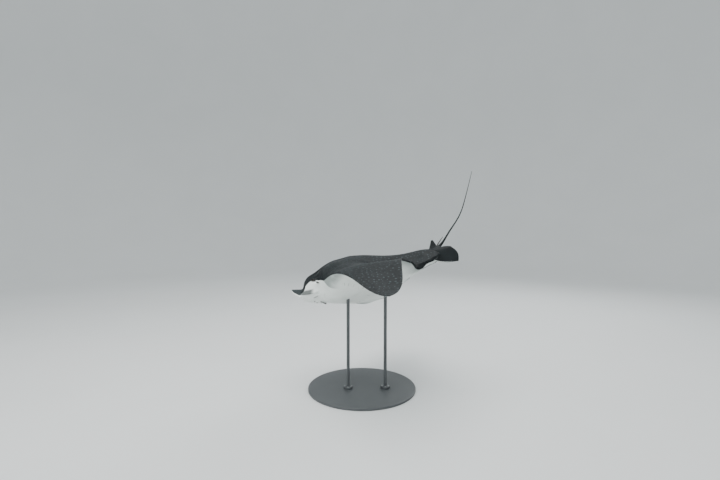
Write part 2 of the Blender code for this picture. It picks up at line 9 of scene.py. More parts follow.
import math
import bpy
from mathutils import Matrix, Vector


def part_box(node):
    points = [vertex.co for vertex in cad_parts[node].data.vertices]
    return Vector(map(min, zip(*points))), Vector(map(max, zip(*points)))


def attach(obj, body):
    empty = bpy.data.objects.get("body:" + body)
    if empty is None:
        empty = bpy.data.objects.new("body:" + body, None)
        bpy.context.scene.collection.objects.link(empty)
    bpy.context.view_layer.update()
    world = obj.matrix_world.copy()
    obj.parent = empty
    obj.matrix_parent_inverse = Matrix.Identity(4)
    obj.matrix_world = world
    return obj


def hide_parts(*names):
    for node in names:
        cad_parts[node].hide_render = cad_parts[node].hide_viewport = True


bl_info = {
    "name": "Spotted Eagle Ray Display Model",
    "version": (1, 0, 0),
    "blender": (4, 5, 0),
    "location": "3D View > Sidebar > Ray",
    "description": "Builds the skin, eyes, tail spine, stand and studio of a display ray",
    "category": "Add Mesh",
}

import bmesh
import bpy
import numpy as np
from bpy.props import FloatProperty, FloatVectorProperty, IntProperty, PointerProperty
from mathutils import Matrix, Vector

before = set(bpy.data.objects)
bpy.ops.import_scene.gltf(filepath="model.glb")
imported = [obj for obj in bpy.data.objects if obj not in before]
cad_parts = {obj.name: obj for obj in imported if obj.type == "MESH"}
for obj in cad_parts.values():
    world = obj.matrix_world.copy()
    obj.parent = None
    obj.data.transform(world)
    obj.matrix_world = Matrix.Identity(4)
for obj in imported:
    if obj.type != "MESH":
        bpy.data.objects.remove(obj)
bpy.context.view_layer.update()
BODY = "root"

# ---- the ray's driving sizes and its lean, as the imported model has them
DISC_WIDTH = 1.40
BODY_HEIGHT = 0.640
NOSE_DOWN = 14.7
BANK_TO_THE_RIGHT = 19.6
MIDDLE_STATION = 0.29
MM = 0.001 / DISC_WIDTH     # a millimetre, as a fraction of the disc width

# ---- stations along the body, as fractions of the disc width
LOBE_END = 0.052
WING_FRONT = 0.150
WING_BACK = 0.545
PELVIC_FRONT = 0.556
PELVIC_BACK = 0.604
HIP = 0.578
TAIL_END = 1.160

# ---- pose: slopes of the wings, and how the tail rises and swings, in degrees
BEND_START = 0.03           # reach at which the slopes of a wing start
BEND_BACK = (0.19, 0.47)    # stations between which they turn from leading to trailing
SPAN_SHARES = (0, 0.08, 0.15, 0.20, 0.28, 0.36, 0.45, 0.60, 0.80, 1)
LEFT_LEADING_SLOPE = (-18, 6, -4, -8, -13, -17, -20, -25, -41, -33)
LEFT_TRAILING_SLOPE = (-18, -58, -42, 0, 35, 10, -25, -49, -40, -12)
RIGHT_LEADING_SLOPE = (-18, -23, -25, -25, -20, -14, -8, 6, -7, -23)
RIGHT_TRAILING_SLOPE = (-18, -14, -14, -14, -6, 2, 8, 7, 9, 3)
LEFT_PELVIC_SLOPE = -98
RIGHT_PELVIC_SLOPE = -50
TAIL_STATIONS = (0, 0.38, 0.50, 0.565, 0.60, 0.63, 0.665, 0.72, 0.85, 1.0, TAIL_END)
TAIL_RISE = (0, 0, 10, -1, 21, 36, 46, 42, 50, 46, 37)
TAIL_SWING = (0, 0, -4, 7, 6, 2, -6, -20, -44, -55, -66)
AXIS_STEPS = 400            # steps along the body's axis
BEND_STEPS = 24             # steps along a wing's span, from which its bend is summed

# ---- features of the head and underside, as fractions of the disc width
EYE_STATION = 0.1105
EYE_HEIGHT = 0.0055
EYE_RADIUS = 0.0120
EYE_SINK = 0.0099
EYEBALL_GAP = 0.0008        # from an eyeball to the sphere its lids are set round, in metres
EYE_OPENING = (13.6, 4.6)           # half length and half height, in millimetres
EYE_SLANT = math.radians(-26.0)     # fall of the opening towards the rear
SPIRACLE = (0.1285, -0.0085)        # station and height
LIP_LINE = ((0.0277, 0.0459, 0.0569, 0.0655, 0.0814, 0.0972, 0.1116, 0.1246),
            (-0.0195, -0.0365, -0.0428, -0.0461, -0.0490, -0.0500, -0.0488, -0.0466))
DARK_LINE = ((0.050, 0.066, 0.0702, 0.0743, 0.0829, 0.0907, 0.0988, 0.1055, 0.1209, 0.1386, 0.1505),
             (-0.026, -0.022, -0.0167, -0.0043, 0.0026, 0.0074, 0.0097, 0.0096, 0.0035, -0.0036, -0.0059))
FRONT_EDGE_DARK = 3                 # depth of the dark colour on a wing's edges, in millimetres
BACK_EDGE_DARK = 9
MOUTH_STATION = 0.126
MOUTH_REACH = 0.044
MOUTH_BOW = 0.017
NOSTRIL = (0.088, 0.034)            # station and reach
GILL_HALF_LENGTH = 0.0125
GILL_SLITS = ((0.234, 0.144), (0.248, 0.137), (0.262, 0.126), (0.276, 0.110), (0.290, 0.092))

# ---- dorsal fin and tail spine
DORSAL_FRONT = 0.573
DORSAL_LENGTH = 0.037
DORSAL_BEND = 0.58          # the fin stands square to the axis here
DORSAL_SHARES = (0, 0.25, 0.55, 0.75, 0.88, 1)
DORSAL_ALONG = (-0.007, 0.0054, 0.0164, 0.0222, 0.0250, 0.0285)
DORSAL_UP = (0.0150, 0.0328, 0.0480, 0.0458, 0.0330, 0.0185)
STING_FRONT = 0.617
STING_LENGTH = 0.0415
STING_TILT = 13
SPINE_LIFT = 0.0006
SPINE_ROOT = -0.09          # the blade starts this share of its length inside the tail
SPINE_THICKNESS = (0.0036, 0.0010)      # metres, from root to tip
SPINE_HALF_WIDTH = (0.0046, 0.0006)
FIN_THICKNESS = 0.0020      # half, in metres
FIN_FLARE = 0.0020          # width of the fin's flared foot, in metres

# ---- stand and studio, in metres
COLLAR_HEIGHT = 0.014
COLLAR_STEP = 0.002         # round on a collar's edge, and half the fillet round its rod
ROD_RADIUS = 0.009
BASE_ROUND_ABOVE = 0.004
BASE_ROUND_BELOW = 0.001
SCREW_RING = 0.0185         # radius of the ring of screws
SCREW_HEAD = 0.0032         # radius of a screw's head
SCREW_LIFT = 0.0125         # height of the heads' middles over a collar's foot
STAND_RODS = ("stand_rod_front", "stand_rod_rear")
FLOOR_RADIUS = 6.0
FLOOR_SWEEP = 4.0           # radius of the floor's upturned rim
FLOOR_TOP = 9.5

# ---- fineness of the skin's grid
LOBE_ROWS = 22
HEAD_ROWS = 42
WAIST_ROWS = 6
TAIL_ROWS = 100
STRIP_COLUMNS = 44
CHORD_ROWS = 120
SPAN_COLUMNS = 84
PELVIC_ROWS = 40
PELVIC_COLUMNS = 30
SOFTENING_ROUNDS = 200      # at the front of the wing roots


# ================================================================ curves and shape

def ease(x, start, end):
    """A smooth step from 0 at start to 1 at end."""
    t = np.clip((np.asarray(x, float) - start) / (end - start), 0, 1)
    return t * t * (3 - 2 * t)


def curve_through(xs, ys):
    """A smooth function through a few points that never overshoots them."""
    xs = np.array(xs, float)
    ys = np.array(ys, float)
    step = np.diff(xs)
    slope = np.diff(ys) / step
    tangent = np.zeros(len(xs))
    tangent[0] = slope[0]
    tangent[-1] = slope[-1]
    for i in range(1, len(xs) - 1):
        if slope[i - 1] * slope[i] > 0:
            before = 2 * step[i] + step[i - 1]
            after = step[i] + 2 * step[i - 1]
            tangent[i] = (before + after) / (before / slope[i - 1] + after / slope[i])

    def value(x):
        x = np.clip(np.asarray(x, float), xs[0], xs[-1])
        i = np.clip(np.searchsorted(xs, x) - 1, 0, len(xs) - 2)
        t = (x - xs[i]) / step[i]
        start = ys[i] * (2 * t**3 - 3 * t**2 + 1) + tangent[i] * step[i] * (t**3 - 2 * t**2 + t)
        return start + ys[i + 1] * (3 * t**2 - 2 * t**3) + tangent[i + 1] * step[i] * (t**3 - t**2)

    return value


half_width = curve_through(
    (0, 0.0012, 0.004, 0.014, 0.03, 0.045, 0.056, 0.07, 0.09, 0.118, 0.134, 0.15,
     0.20, 0.40, 0.50, 0.545, 0.58, 0.61, 0.65, 0.75, TAIL_END),
    (0.003, 0.0135, 0.024, 0.042, 0.055, 0.060, 0.066, 0.075, 0.081, 0.085, 0.091, 0.104,
     0.112, 0.085, 0.056, 0.036, 0.017, 0.0078, 0.0037, 0.0025, 0.0010))
back_height = curve_through(
    (0, 0.02, 0.045, 0.052, 0.062, 0.08, 0.11, 0.15, 0.20, 0.25, 0.30, 0.40, 0.50, 0.56,
     0.61, 0.66, 0.75, TAIL_END),
    (0.001, 0.005, 0.008, 0.015, 0.036, 0.052, 0.061, 0.075, 0.086, 0.086, 0.077, 0.046, 0.023,
     0.015, 0.0073, 0.0037, 0.0026, 0.0010))
belly_depth = curve_through(
    (0, 0.02, 0.045, 0.06, 0.08, 0.11, 0.15, 0.20, 0.25, 0.30, 0.40, 0.50, 0.56,
     0.61, 0.66, 0.75, TAIL_END),
    (0.001, 0.012, 0.023, 0.034, 0.047, 0.061, 0.072, 0.076, 0.071, 0.060, 0.036, 0.019, 0.014,
     0.0073, 0.0037, 0.0026, 0.0010))
middle_height = curve_through(
    (0, 0.02, 0.045, 0.07, 0.10, 0.15, 0.3, 0.5, 0.6, TAIL_END),
    (0.008, -0.001, -0.008, -0.010, -0.010, -0.010, -0.006, 0, 0.003, 0.003))
lobe_droop = curve_through((0, 0.02, 0.05, 0.08, 0.13), (0.003, 0.016, 0.028, 0.018, 0))
leading_edge = curve_through(
    (0, 0.06, 0.2, 0.4, 0.6, 0.8, 0.93, 1.0),
    (0.150, 0.166, 0.197, 0.2405, 0.284, 0.330, 0.368, 0.391))
trailing_edge = curve_through(
    (0, 0.04, 0.08, 0.115, 0.16, 0.21, 0.27, 0.36, 0.57, 0.78, 0.92, 1.0),
    (0.545, 0.590, 0.606, 0.592, 0.530, 0.487, 0.480, 0.452, 0.436, 0.423, 0.407, 0.392))
wing_thickness = curve_through((0, 0.2, 0.5, 0.8, 1.0), (0.060, 0.040, 0.019, 0.009, 0.003))
HALF_SPAN = 0.5
WING_ROOT_FRONT = 0.104     # reach of the wing's root at its front
WING_ROOT_BACK = 0.036      # and at its back
ROOT_FRONT_RUN = 0.23       # forward run of the front edge inside the root, per reach
EDGE_SLANT = (0.85, 0.9)    # distance square to the front and back edge, per station
ROOT_BLEND = (5, 0.06)      # how softly a wing root runs into the body: per depth, and at most
ROUNDNESS = 2.2             # exponent of the body's cross-section; 2 is an ellipse
TRUNK_START = (0.10, 0.24)  # stations where the head's section turns into the trunk's
TRUNK_STOP = (0.48, 0.56)   # and the trunk's into the tail's
TRUNK_ROUNDING = 0.060      # width of the trunk's rounded side
TRUNK_REACH = 0.235         # how far out the trunk's bulk runs
WING_SHARE_ABOVE = 0.55     # of the wing's thickness
dorsal_along = curve_through(DORSAL_SHARES, DORSAL_ALONG)
dorsal_up = curve_through(DORSAL_SHARES, DORSAL_UP)
pelvic_outer_station = curve_through((0, 0.3, 0.7, 1), (PELVIC_FRONT, 0.586, 0.629, 0.664))
pelvic_outer_reach = curve_through((0, 0.3, 0.7, 1), (0, 0.034, 0.055, 0.064))
pelvic_inner_station = curve_through((0, 0.4, 0.75, 1), (PELVIC_BACK, 0.626, 0.643, 0.656))
pelvic_inner_reach = curve_through((0, 0.4, 0.75, 1), (0.004, 0.010, 0.016, 0.022))


def smooth_max(a, b, blend):
    """The larger of a and b, with the switch between them rounded off."""
    h = np.clip(0.5 + 0.5 * (a - b) / blend, 0, 1)
    return b + (a - b) * h + blend * h * (1 - h)


def aerofoil(chord):
    """Thickness along a wing's chord: round in front, thin behind."""
    chord = np.clip(chord, 0, 1)
    return 1.9 * np.sqrt(chord) * (1 - chord) ** 0.85


def to_edges(s, reach):
    """Distances inward from the wing's edges and from the side of the body."""
    inward = (reach - WING_ROOT_FRONT) / (HALF_SPAN - WING_ROOT_FRONT)
    front = np.where(inward >= 0, leading_edge(np.clip(inward, 0, 1)),
                     WING_FRONT + inward * ROOT_FRONT_RUN)
    outward = (reach - WING_ROOT_BACK) / (HALF_SPAN - WING_ROOT_BACK)
    back = np.where(outward >= 0, trailing_edge(np.clip(outward, 0, 1)), WING_BACK)
    return (s - front) * EDGE_SLANT[0], (back - s) * EDGE_SLANT[1], half_width(s) - reach


def edge_distance(s, reach):
    """How far a point lies inside the outline seen from above."""
    from_front, from_back, to_side = to_edges(s, reach)
    to_wing_edge = np.minimum(from_front, from_back)
    beside_wing = (s > WING_FRONT - 0.05) & (s < WING_BACK + 0.03)
    deepest = np.where(beside_wing, np.maximum(to_side, to_wing_edge), to_side)
    blend = np.clip(ROOT_BLEND[0] * deepest, 0, ROOT_BLEND[1]) * ease(s, 0.10, 0.15) + 1e-6
    blended = np.where(beside_wing, smooth_max(to_side, to_wing_edge, blend), to_side)
    return np.maximum(blended, 0)


def pelvic_half_thickness(length, chord):
    """Half thickness of a pelvic fin, by share of its length and of its width."""
    across = np.sqrt(np.clip(4 * chord * (1 - chord), 0, 1))
    return (0.006 * np.clip(1 - length, 0, 1) ** 0.7 + 0.0015) * across


def half_thickness(s, y, side, span, chord):
    """Height of the skin over the middle surface (side 1) or depth under it (side -1)."""
    reach = np.abs(y)
    bulk = np.where(side > 0, back_height(s), belly_depth(s))
    trunk = ease(s, *TRUNK_START) * (1 - ease(s, *TRUNK_STOP))
    rounding = half_width(s) * (1 - trunk) + TRUNK_ROUNDING * trunk
    inset = np.clip(edge_distance(s, reach) / np.maximum(rounding, 1e-6), 0, 1)
    dome = np.sqrt(np.clip(1 - (1 - inset) ** ROUNDNESS, 0, 1))
    falloff = np.where(side < 0, 0.05 + 0.09 * (1 - ease(s, 0.20, 0.42)), 0.05)
    beside = 1 - ease(reach - half_width(s), 0, falloff)
    spread = (1 - trunk) * beside + trunk * np.clip(1 - (reach / TRUNK_REACH) ** 2, 0, 1) ** 1.5
    body = bulk * spread * dome
    share = np.where(side > 0, WING_SHARE_ABOVE, 1 - WING_SHARE_ABOVE)
    wing = wing_thickness(span) * aerofoil(chord) * share
    hip = pelvic_half_thickness(0, (s - PELVIC_FRONT) / (PELVIC_BACK - PELVIC_FRONT))
    hip = hip * np.clip(reach / half_width(s), 0, 1) ** 3
    return np.cbrt(body**3 + wing**3 + hip**3)


# ================================================================ pose

def wing_slope(leading, trailing):
    """Slope of a wing in radians at a station and a reach."""
    at_front = curve_through(SPAN_SHARES, leading)
    at_back = curve_through(SPAN_SHARES, trailing)

    def slope(s, reach):
        span = np.clip((reach - BEND_START) / (HALF_SPAN - BEND_START), 0, 1)
        back = ease(s, *BEND_BACK)
        degrees = at_front(span) * (1 - back) + at_back(span) * back
        return np.radians(degrees) * ease(reach, 0.0, 0.05)

    return slope


def tail_frames():
    """Position and directions of the body's axis: back, left and up, at fine steps."""
    stations = np.linspace(0, TAIL_END + 0.02, AXIS_STEPS)
    rise = np.radians(curve_through(TAIL_STATIONS, TAIL_RISE)(stations))
    swing = np.radians(curve_through(TAIL_STATIONS, TAIL_SWING)(stations))
    back = np.stack([np.cos(rise) * np.sin(swing), np.cos(rise) * np.cos(swing), np.sin(rise)], 1)
    left = np.stack([np.cos(swing), -np.sin(swing), 0 * swing], 1)
    up = np.stack([-np.sin(rise) * np.sin(swing), -np.sin(rise) * np.cos(swing), np.cos(rise)], 1)
    steps = 0.5 * (back[1:] + back[:-1]) * (stations[1] - stations[0])
    axis = np.vstack([np.zeros(3), np.cumsum(steps, 0)])
    return stations, axis, back, left, up


STATIONS, AXIS, BACK, LEFT, UP = tail_frames()
LEFT_WING = wing_slope(LEFT_LEADING_SLOPE, LEFT_TRAILING_SLOPE)
RIGHT_WING = wing_slope(RIGHT_LEADING_SLOPE, RIGHT_TRAILING_SLOPE)


def at_station(s, vectors):
    """The vectors of the axis table, read at the stations s."""
    return np.stack([np.interp(s, STATIONS, vectors[:, k]) for k in range(3)], 1)


def droop(s, reach, left_side, span):
    """Slope of the body's middle surface in radians."""
    wing = np.where(left_side, LEFT_WING(s, reach), RIGHT_WING(s, reach))
    hip = np.where(span > 0, 0, ease(s, WING_BACK, WING_BACK + 0.03))
    fin = np.radians(np.where(left_side, LEFT_PELVIC_SLOPE, RIGHT_PELVIC_SLOPE))
    return wing * (1 - hip) + fin * ease(reach, 0.010, 0.040) * hip


def lean():
    """The matrix that leans the ray's own frame and lifts it over the stand."""
    turn = Matrix.Rotation(math.radians(NOSE_DOWN), 4, "X")
    turn = turn @ Matrix.Rotation(math.radians(-BANK_TO_THE_RIGHT), 4, "Y")
    middle = Vector(at_station(np.array([MIDDLE_STATION]), AXIS)[0] * DISC_WIDTH)
    return Matrix.Translation(Vector((0, 0, BODY_HEIGHT)) - turn @ middle) @ turn


LEAN = np.array(lean())


def leant(points):
    """Points or a point of the ray's own frame, in disc widths, to metres in the model's frame."""
    return points * DISC_WIDTH @ LEAN[:3, :3].T + LEAN[:3, 3]


def posed(s, y, z, span):
    """Flat body coordinates to metres in the model's frame: the flat body is bent, then leant.
    span is a share of a wing's span, or if negative of a pelvic fin's length. Behind their roots
    the fins run on straight, beside the bend of the tail."""
    reach = np.abs(y)
    left_side = y >= 0
    across = np.zeros_like(reach)
    rise = np.zeros_like(reach)
    for k in range(BEND_STEPS):
        slope = droop(s, reach * (k + 0.5) / BEND_STEPS, left_side, span)
        across += np.cos(slope) * reach / BEND_STEPS
        rise += np.sin(slope) * reach / BEND_STEPS
    slope = droop(s, reach, left_side, span)
    across = np.where(left_side, 1, -1) * (across - z * np.sin(slope))
    rise = rise + z * np.cos(slope)
    root_end = np.where(span > 0, WING_BACK, HIP)
    station = s + (np.minimum(s, root_end) - s) * np.where(span > 0, 1, ease(-span, 0, 0.35))
    point = at_station(station, AXIS) + at_station(station, BACK) * (s - station)[:, None]
    point = point + at_station(station, LEFT) * across[:, None] + at_station(station, UP) * rise[:, None]
    return leant(point)


def flat_height(s, y, side, span, chord):
    """Height of the skin over the flat body's plane, as a fraction of the disc width."""
    on_wing = half_thickness(s, y, side, np.maximum(span, 0), chord)
    thick = np.where(span < 0, pelvic_half_thickness(-span, chord), on_wing)
    reach = np.abs(y)
    middle = middle_height(s) * (1 - ease(reach, 0.08, 0.25))
    middle = middle - lobe_droop(s) * np.minimum(reach / half_width(s), 1) ** 2
    return middle + side * thick


def one_posed(s, y, z):
    """A single posed point of the head, trunk or tail."""
    return Vector(posed(*[np.array([float(v)]) for v in (s, y, z, 0)])[0])


def from_axis(station, along, up):
    """A point of the midline by its distances back along and up from the axis at a station."""
    axis, back, lift = [at_station(np.array([station]), v)[0] for v in (AXIS, BACK, UP)]
    return leant(axis + along * back + up * lift)


def fin_outline(share):
    """Foot and crest of the dorsal fin in metres, by share of its length."""
    foot = DORSAL_FRONT + DORSAL_LENGTH * share
    skin = np.array([foot])
    low = posed(skin, 0 * skin, middle_height(skin) + back_height(skin), 0 * skin)[0]
    return low, from_axis(DORSAL_BEND, dorsal_along(share), dorsal_up(share))


def spine_outline(share):
    """Middle of the lower face of the tail spine in metres, its thickness and half width."""
    tilt = math.radians(STING_TILT)
    out = STING_LENGTH * share
    skin = float(middle_height(STING_FRONT) + back_height(STING_FRONT))
    lift = skin + out * math.sin(tilt) + SPINE_LIFT * float(ease(share, 0, 0.2))
    middle = from_axis(STING_FRONT, out * math.cos(tilt), lift)
    thick = SPINE_THICKNESS[0] * (1 - share) ** 0.5 + SPINE_THICKNESS[1]
    return middle, thick, SPINE_HALF_WIDTH[0] * (1 - share) ** 0.45 + SPINE_HALF_WIDTH[1]


def spine_frame():
    """Left and up of the tail spine, in metres for one disc width."""
    tilt = math.radians(STING_TILT)
    up = from_axis(STING_FRONT, -math.sin(tilt), math.cos(tilt)) - from_axis(STING_FRONT, 0, 0)
    return LEAN[:3, :3] @ at_station(np.array([STING_FRONT]), LEFT)[0] * DISC_WIDTH, up


# ================================================================ materials

def linear(hex_colour):
    """sRGB hex to a linear RGBA tuple."""
    parts = [int(hex_colour[k:k + 2], 16) / 255 for k in (1, 3, 5)]
    return (*[c / 12.92 if c <= 0.04045 else ((c + 0.055) / 1.055) ** 2.4 for c in parts], 1.0)


def set_sockets(tree, node, inputs):
    """Give a node its inputs: each is a value, or a socket that is linked to it."""
    for key, value in inputs.items():
        if isinstance(value, bpy.types.NodeSocket):
            tree.links.new(value, node.inputs[key])
        else:
            node.inputs[key].default_value = value


def add_node(tree, kind, inputs=None, **settings):
    """A node with its settings and its inputs."""
    made = tree.nodes.new(kind)
    for name, value in settings.items():
        setattr(made, name, value)
    set_sockets(tree, made, inputs or {})
    return made


def new_material(name):
    """A material with only a Principled BSDF and its output."""
    made = bpy.data.materials.new(name)
    made.use_nodes = True
    return made, made.node_tree, made.node_tree.nodes["Principled BSDF"]


def mixed(tree, share, first, second):
    """Colour output of a mix from first to second by share."""
    made = add_node(tree, "ShaderNodeMix", data_type="RGBA")
    set_sockets(tree, made, {0: share, 6: first, 7: second})
    return made.outputs[2]


def stepped(tree, value, low, high, to_low=0.0, to_high=1.0):
    """Output of a smooth step of value from low to high."""
    made = add_node(tree, "ShaderNodeMapRange", {0: value, 1: low, 2: high, 3: to_low, 4: to_high},
                    interpolation_type="SMOOTHSTEP", clamp=True)
    return made.outputs[0]


def maths(tree, operation, *values):
    """Output of a math node."""
    return add_node(tree, "ShaderNodeMath", dict(enumerate(values)), operation=operation).outputs[0]


def attribute(tree, name, output="Fac"):
    """Output of an attribute of the mesh."""
    return add_node(tree, "ShaderNodeAttribute", attribute_name=name).outputs[output]


def own_place(tree):
    """A piece's own coordinates, in metres."""
    return add_node(tree, "ShaderNodeTexCoord").outputs["Object"]


def bumped(tree, height, strength, distance):
    """Output of a bump whose height is in units of the distance, in metres."""
    return add_node(tree, "ShaderNodeBump", {
        "Height": height, "Strength": strength, "Distance": distance}).outputs[0]


def noise(tree, place, size_mm, detail=3.0):
    """Noise with blotches of the given size, on coordinates in metres."""
    return add_node(tree, "ShaderNodeTexNoise", {
        "Vector": place, "Scale": 1000 / size_mm, "Detail": detail, "Roughness": 0.55}).outputs["Fac"]


# ================================================================ properties

def colour_setting(name, description, hex_colour):
    """A colour property with its default in sRGB hex."""
    return FloatVectorProperty(name=name, description=description, subtype="COLOR",
                               size=3, min=0, max=1, default=linear(hex_colour)[:3])


class RaySkinSettings(bpy.types.PropertyGroup):
    """Colours and markings of the skin."""
    back_colour: colour_setting("Back", "Colour of the back and upper fins", "#151a1c")
    belly_colour: colour_setting("Belly", "Colour of the belly and throat", "#e9eeea")
    spot_colour: colour_setting("Spots", "Colour of the small spots on the back", "#414b4e")
    spot_spacing: FloatProperty(
        name="Spot spacing", description="Distance between neighbouring spots", unit="LENGTH",
        min=0.01, max=0.1, default=0.021)


class RayEyeSettings(bpy.types.PropertyGroup):
    """Colours of the eyes."""
    iris_colour: colour_setting("Iris", "Colour of the iris", "#1c1510")


class RayStandSettings(bpy.types.PropertyGroup):
    """Finish of the stand."""
    steel_colour: colour_setting("Powder coat", "Colour of the coated steel", "#4a4e50")
    screw_count: IntProperty(
        name="Screws", description="Screws round each rod's collar", min=2, max=8, default=4)


class RayStageSettings(bpy.types.PropertyGroup):
    """Studio floor, lights and camera."""
    floor_colour: colour_setting("Floor", "Colour of the floor", "#e3e6e6")
    camera_place: FloatVectorProperty(
        name="Camera", description="Place of the camera", subtype="TRANSLATION", unit="LENGTH",
        size=3, default=(2.326, 0.144, 0.910))
    camera_lens: FloatProperty(
        name="Lens", description="Focal length in millimetres", min=10, max=200, default=21.0)
    camera_heading: FloatProperty(
        name="Heading", description="Turn of the camera about the vertical from looking along +Y",
        subtype="ANGLE", default=math.radians(93.8))
    camera_tilt: FloatProperty(
        name="Tilt", description="Tilt of the camera above the level", subtype="ANGLE",
        default=math.radians(-1.95))


# ================================================================ skin mesh

FLAT_LAYERS = ("s", "y", "span", "chord", "side")
FLESH = ["snout_lobe", "head", "trunk", "tail_root", "dorsal_fin"]
FLESH += [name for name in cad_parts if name.startswith(("tail_length_", "wing_", "pelvic_fin_"))]


def chord_shares(count):
    """Shares along a chord, closer together near its front, where the gills are."""
    even = np.linspace(0, 1, count + 1)
    return 0.55 * even**1.6 + 0.45 * (0.5 - 0.5 * np.cos(np.pi * even))


def strip_grid():
    """The head, trunk and tail, with rows that match the roots of the fins."""
    lobe = LOBE_END * np.linspace(0, 1, LOBE_ROWS) ** 1.5
    head = np.linspace(LOBE_END, WING_FRONT, HEAD_ROWS)
    trunk = WING_FRONT + chord_shares(CHORD_ROWS) * (WING_BACK - WING_FRONT)
    waist = np.linspace(WING_BACK, PELVIC_FRONT, WAIST_ROWS)
    hip = np.linspace(PELVIC_FRONT, PELVIC_BACK, PELVIC_ROWS + 1)
    tail = PELVIC_BACK + (TAIL_END - PELVIC_BACK) * np.linspace(0, 1, TAIL_ROWS) ** 1.25
    stations = np.concatenate([lobe, head[1:], trunk[1:], waist[1:], hip[1:], tail[1:]])
    shares = np.sin(np.linspace(-np.pi / 2, np.pi / 2, STRIP_COLUMNS + 1))
    s = np.repeat(stations[:, None], len(shares), 1)
    chord = np.clip((s - WING_FRONT) / (WING_BACK - WING_FRONT), 0, 1)
    edge = np.zeros(s.shape, bool)
    edge[0] = edge[-1] = True
    beside_fin = ((s > WING_FRONT) & (s < WING_BACK)) | ((s > PELVIC_FRONT) & (s < PELVIC_BACK))
    edge[:, 0] |= ~beside_fin[:, 0]
    edge[:, -1] |= ~beside_fin[:, -1]
    return s, half_width(s) * shares, np.zeros(s.shape), chord, edge


def wing_grid(hand):
    """A wing, from its root on the trunk to its tip."""
    spans = np.linspace(0, 1, SPAN_COLUMNS + 1)
    chord, span = np.meshgrid(chord_shares(CHORD_ROWS), spans, indexing="ij")
    root_station = WING_FRONT + chord * (WING_BACK - WING_FRONT)
    s = leading_edge(span) + chord * (trailing_edge(span) - leading_edge(span))
    s = np.where(span > 0, s, root_station)
    y = half_width(root_station) * (1 - span) + HALF_SPAN * span
    edge = (chord == 0) | (chord == 1) | (span == 1)
    return s, hand * y, span, chord, edge


def pelvic_grid(hand):
    """A pelvic fin, from its root on the tail root to its free end."""
    rows = np.linspace(0, 1, PELVIC_ROWS + 1)
    columns = np.linspace(0, 1, PELVIC_COLUMNS + 1)
    chord, length = np.meshgrid(rows, columns, indexing="ij")
    root_station = PELVIC_FRONT + chord * (PELVIC_BACK - PELVIC_FRONT)
    bulge = 0.012 * np.sin(np.pi * chord) * length**3
    s = pelvic_outer_station(length) * (1 - chord) + pelvic_inner_station(length) * chord + bulge
    outer = half_width(PELVIC_FRONT) + pelvic_outer_reach(length)
    inner = half_width(PELVIC_BACK) + pelvic_inner_reach(length)
    y = outer * (1 - chord) + inner * chord
    at_root = length == 0
    s = np.where(at_root, root_station, s)
    y = np.where(at_root, half_width(root_station), y)
    edge = (chord == 0) | (chord == 1) | (length == 1)
    return s, hand * y, -length, np.where(at_root, 1, chord), edge


def read_layers(mesh_data):
    """The flat coordinates of every vertex, as arrays."""
    layers = [mesh_data.verts.layers.float[name] for name in FLAT_LAYERS]
    values = np.array([[vert[layer] for layer in layers] for vert in mesh_data.verts])
    return values.T


def place_on_skin(mesh_data):
    """Move every vertex to its exact place on the posed skin."""
    s, y, span, chord, side = read_layers(mesh_data)
    points = posed(s, y, flat_height(s, y, side, span, chord), span)
    for vert, point in zip(mesh_data.verts, points):
        vert.co = point


def grid_mesh(grids):
    """A bmesh of all grids, top and bottom, joined wherever their borders meet. As the faces are
    wound here, their normals point into the body."""
    mesh_data = bmesh.new()
    layers = [mesh_data.verts.layers.float.new(name) for name in FLAT_LAYERS]
    for s, y, span, chord, edge in grids:
        rows, columns = s.shape
        for side in (1, -1):
            sides = np.where(edge, 0, side)
            values = np.stack([s, y, span, chord, sides], 2).reshape(-1, len(FLAT_LAYERS))
            points = posed(*values[:, :2].T, flat_height(*values[:, [0, 1, 4, 2, 3]].T), values[:, 2])
            verts = []
            for point, value in zip(points, values):
                vert = mesh_data.verts.new(point)
                for layer, number in zip(layers, value):
                    vert[layer] = number
                verts.append(vert)
            outward = side * (1 if y[0, -1] > y[0, 0] or y[-1, -1] > y[-1, 0] else -1)
            for i in range(rows - 1):
                for j in range(columns - 1):
                    a = i * columns + j
                    corners = [a, a + columns, a + columns + 1, a + 1]
                    mesh_data.faces.new([verts[k] for k in corners[::outward]])
    bmesh.ops.remove_doubles(mesh_data, verts=mesh_data.verts, dist=0.00002)
    return mesh_data


def refine(mesh_data, near):
    """Divide the faces whose flat place passes the test near(s, y, height, side)."""
    s, y, span, chord, side = read_layers(mesh_data)
    height = flat_height(s, y, side, span, chord)
    chosen = near(s, y, height, side) & (span >= 0)
    mesh_data.verts.index_update()
    edges = [e for e in mesh_data.edges if all(chosen[v.index] for v in e.verts)]
    bmesh.ops.subdivide_edges(mesh_data, edges=edges, cuts=1, use_grid_fill=True)
    layer = mesh_data.verts.layers.float["side"]
    for vert in mesh_data.verts:
        if vert[layer] != 0:
            vert[layer] = math.copysign(1, vert[layer])
    place_on_skin(mesh_data)


def beside_head(s, y, height, side):
    """The sides and the underside of the head, where the eye, spiracle and mouth are."""
    at_side = np.abs(y) > half_width(s) * 0.72
    under = (side < 0) & (np.abs(y) < MOUTH_REACH + 0.01) & (s > 0.078) & (s < 0.128)
    return (s > 0.045) & (s < 0.145) & (np.abs(y) < 0.10) & (at_side | under)


def round_face(s, y, height, side):
    """The part of the head with the eye, spiracle, nostrils and mouth."""
    return beside_head(s, y, height, side) & (s > 0.088)


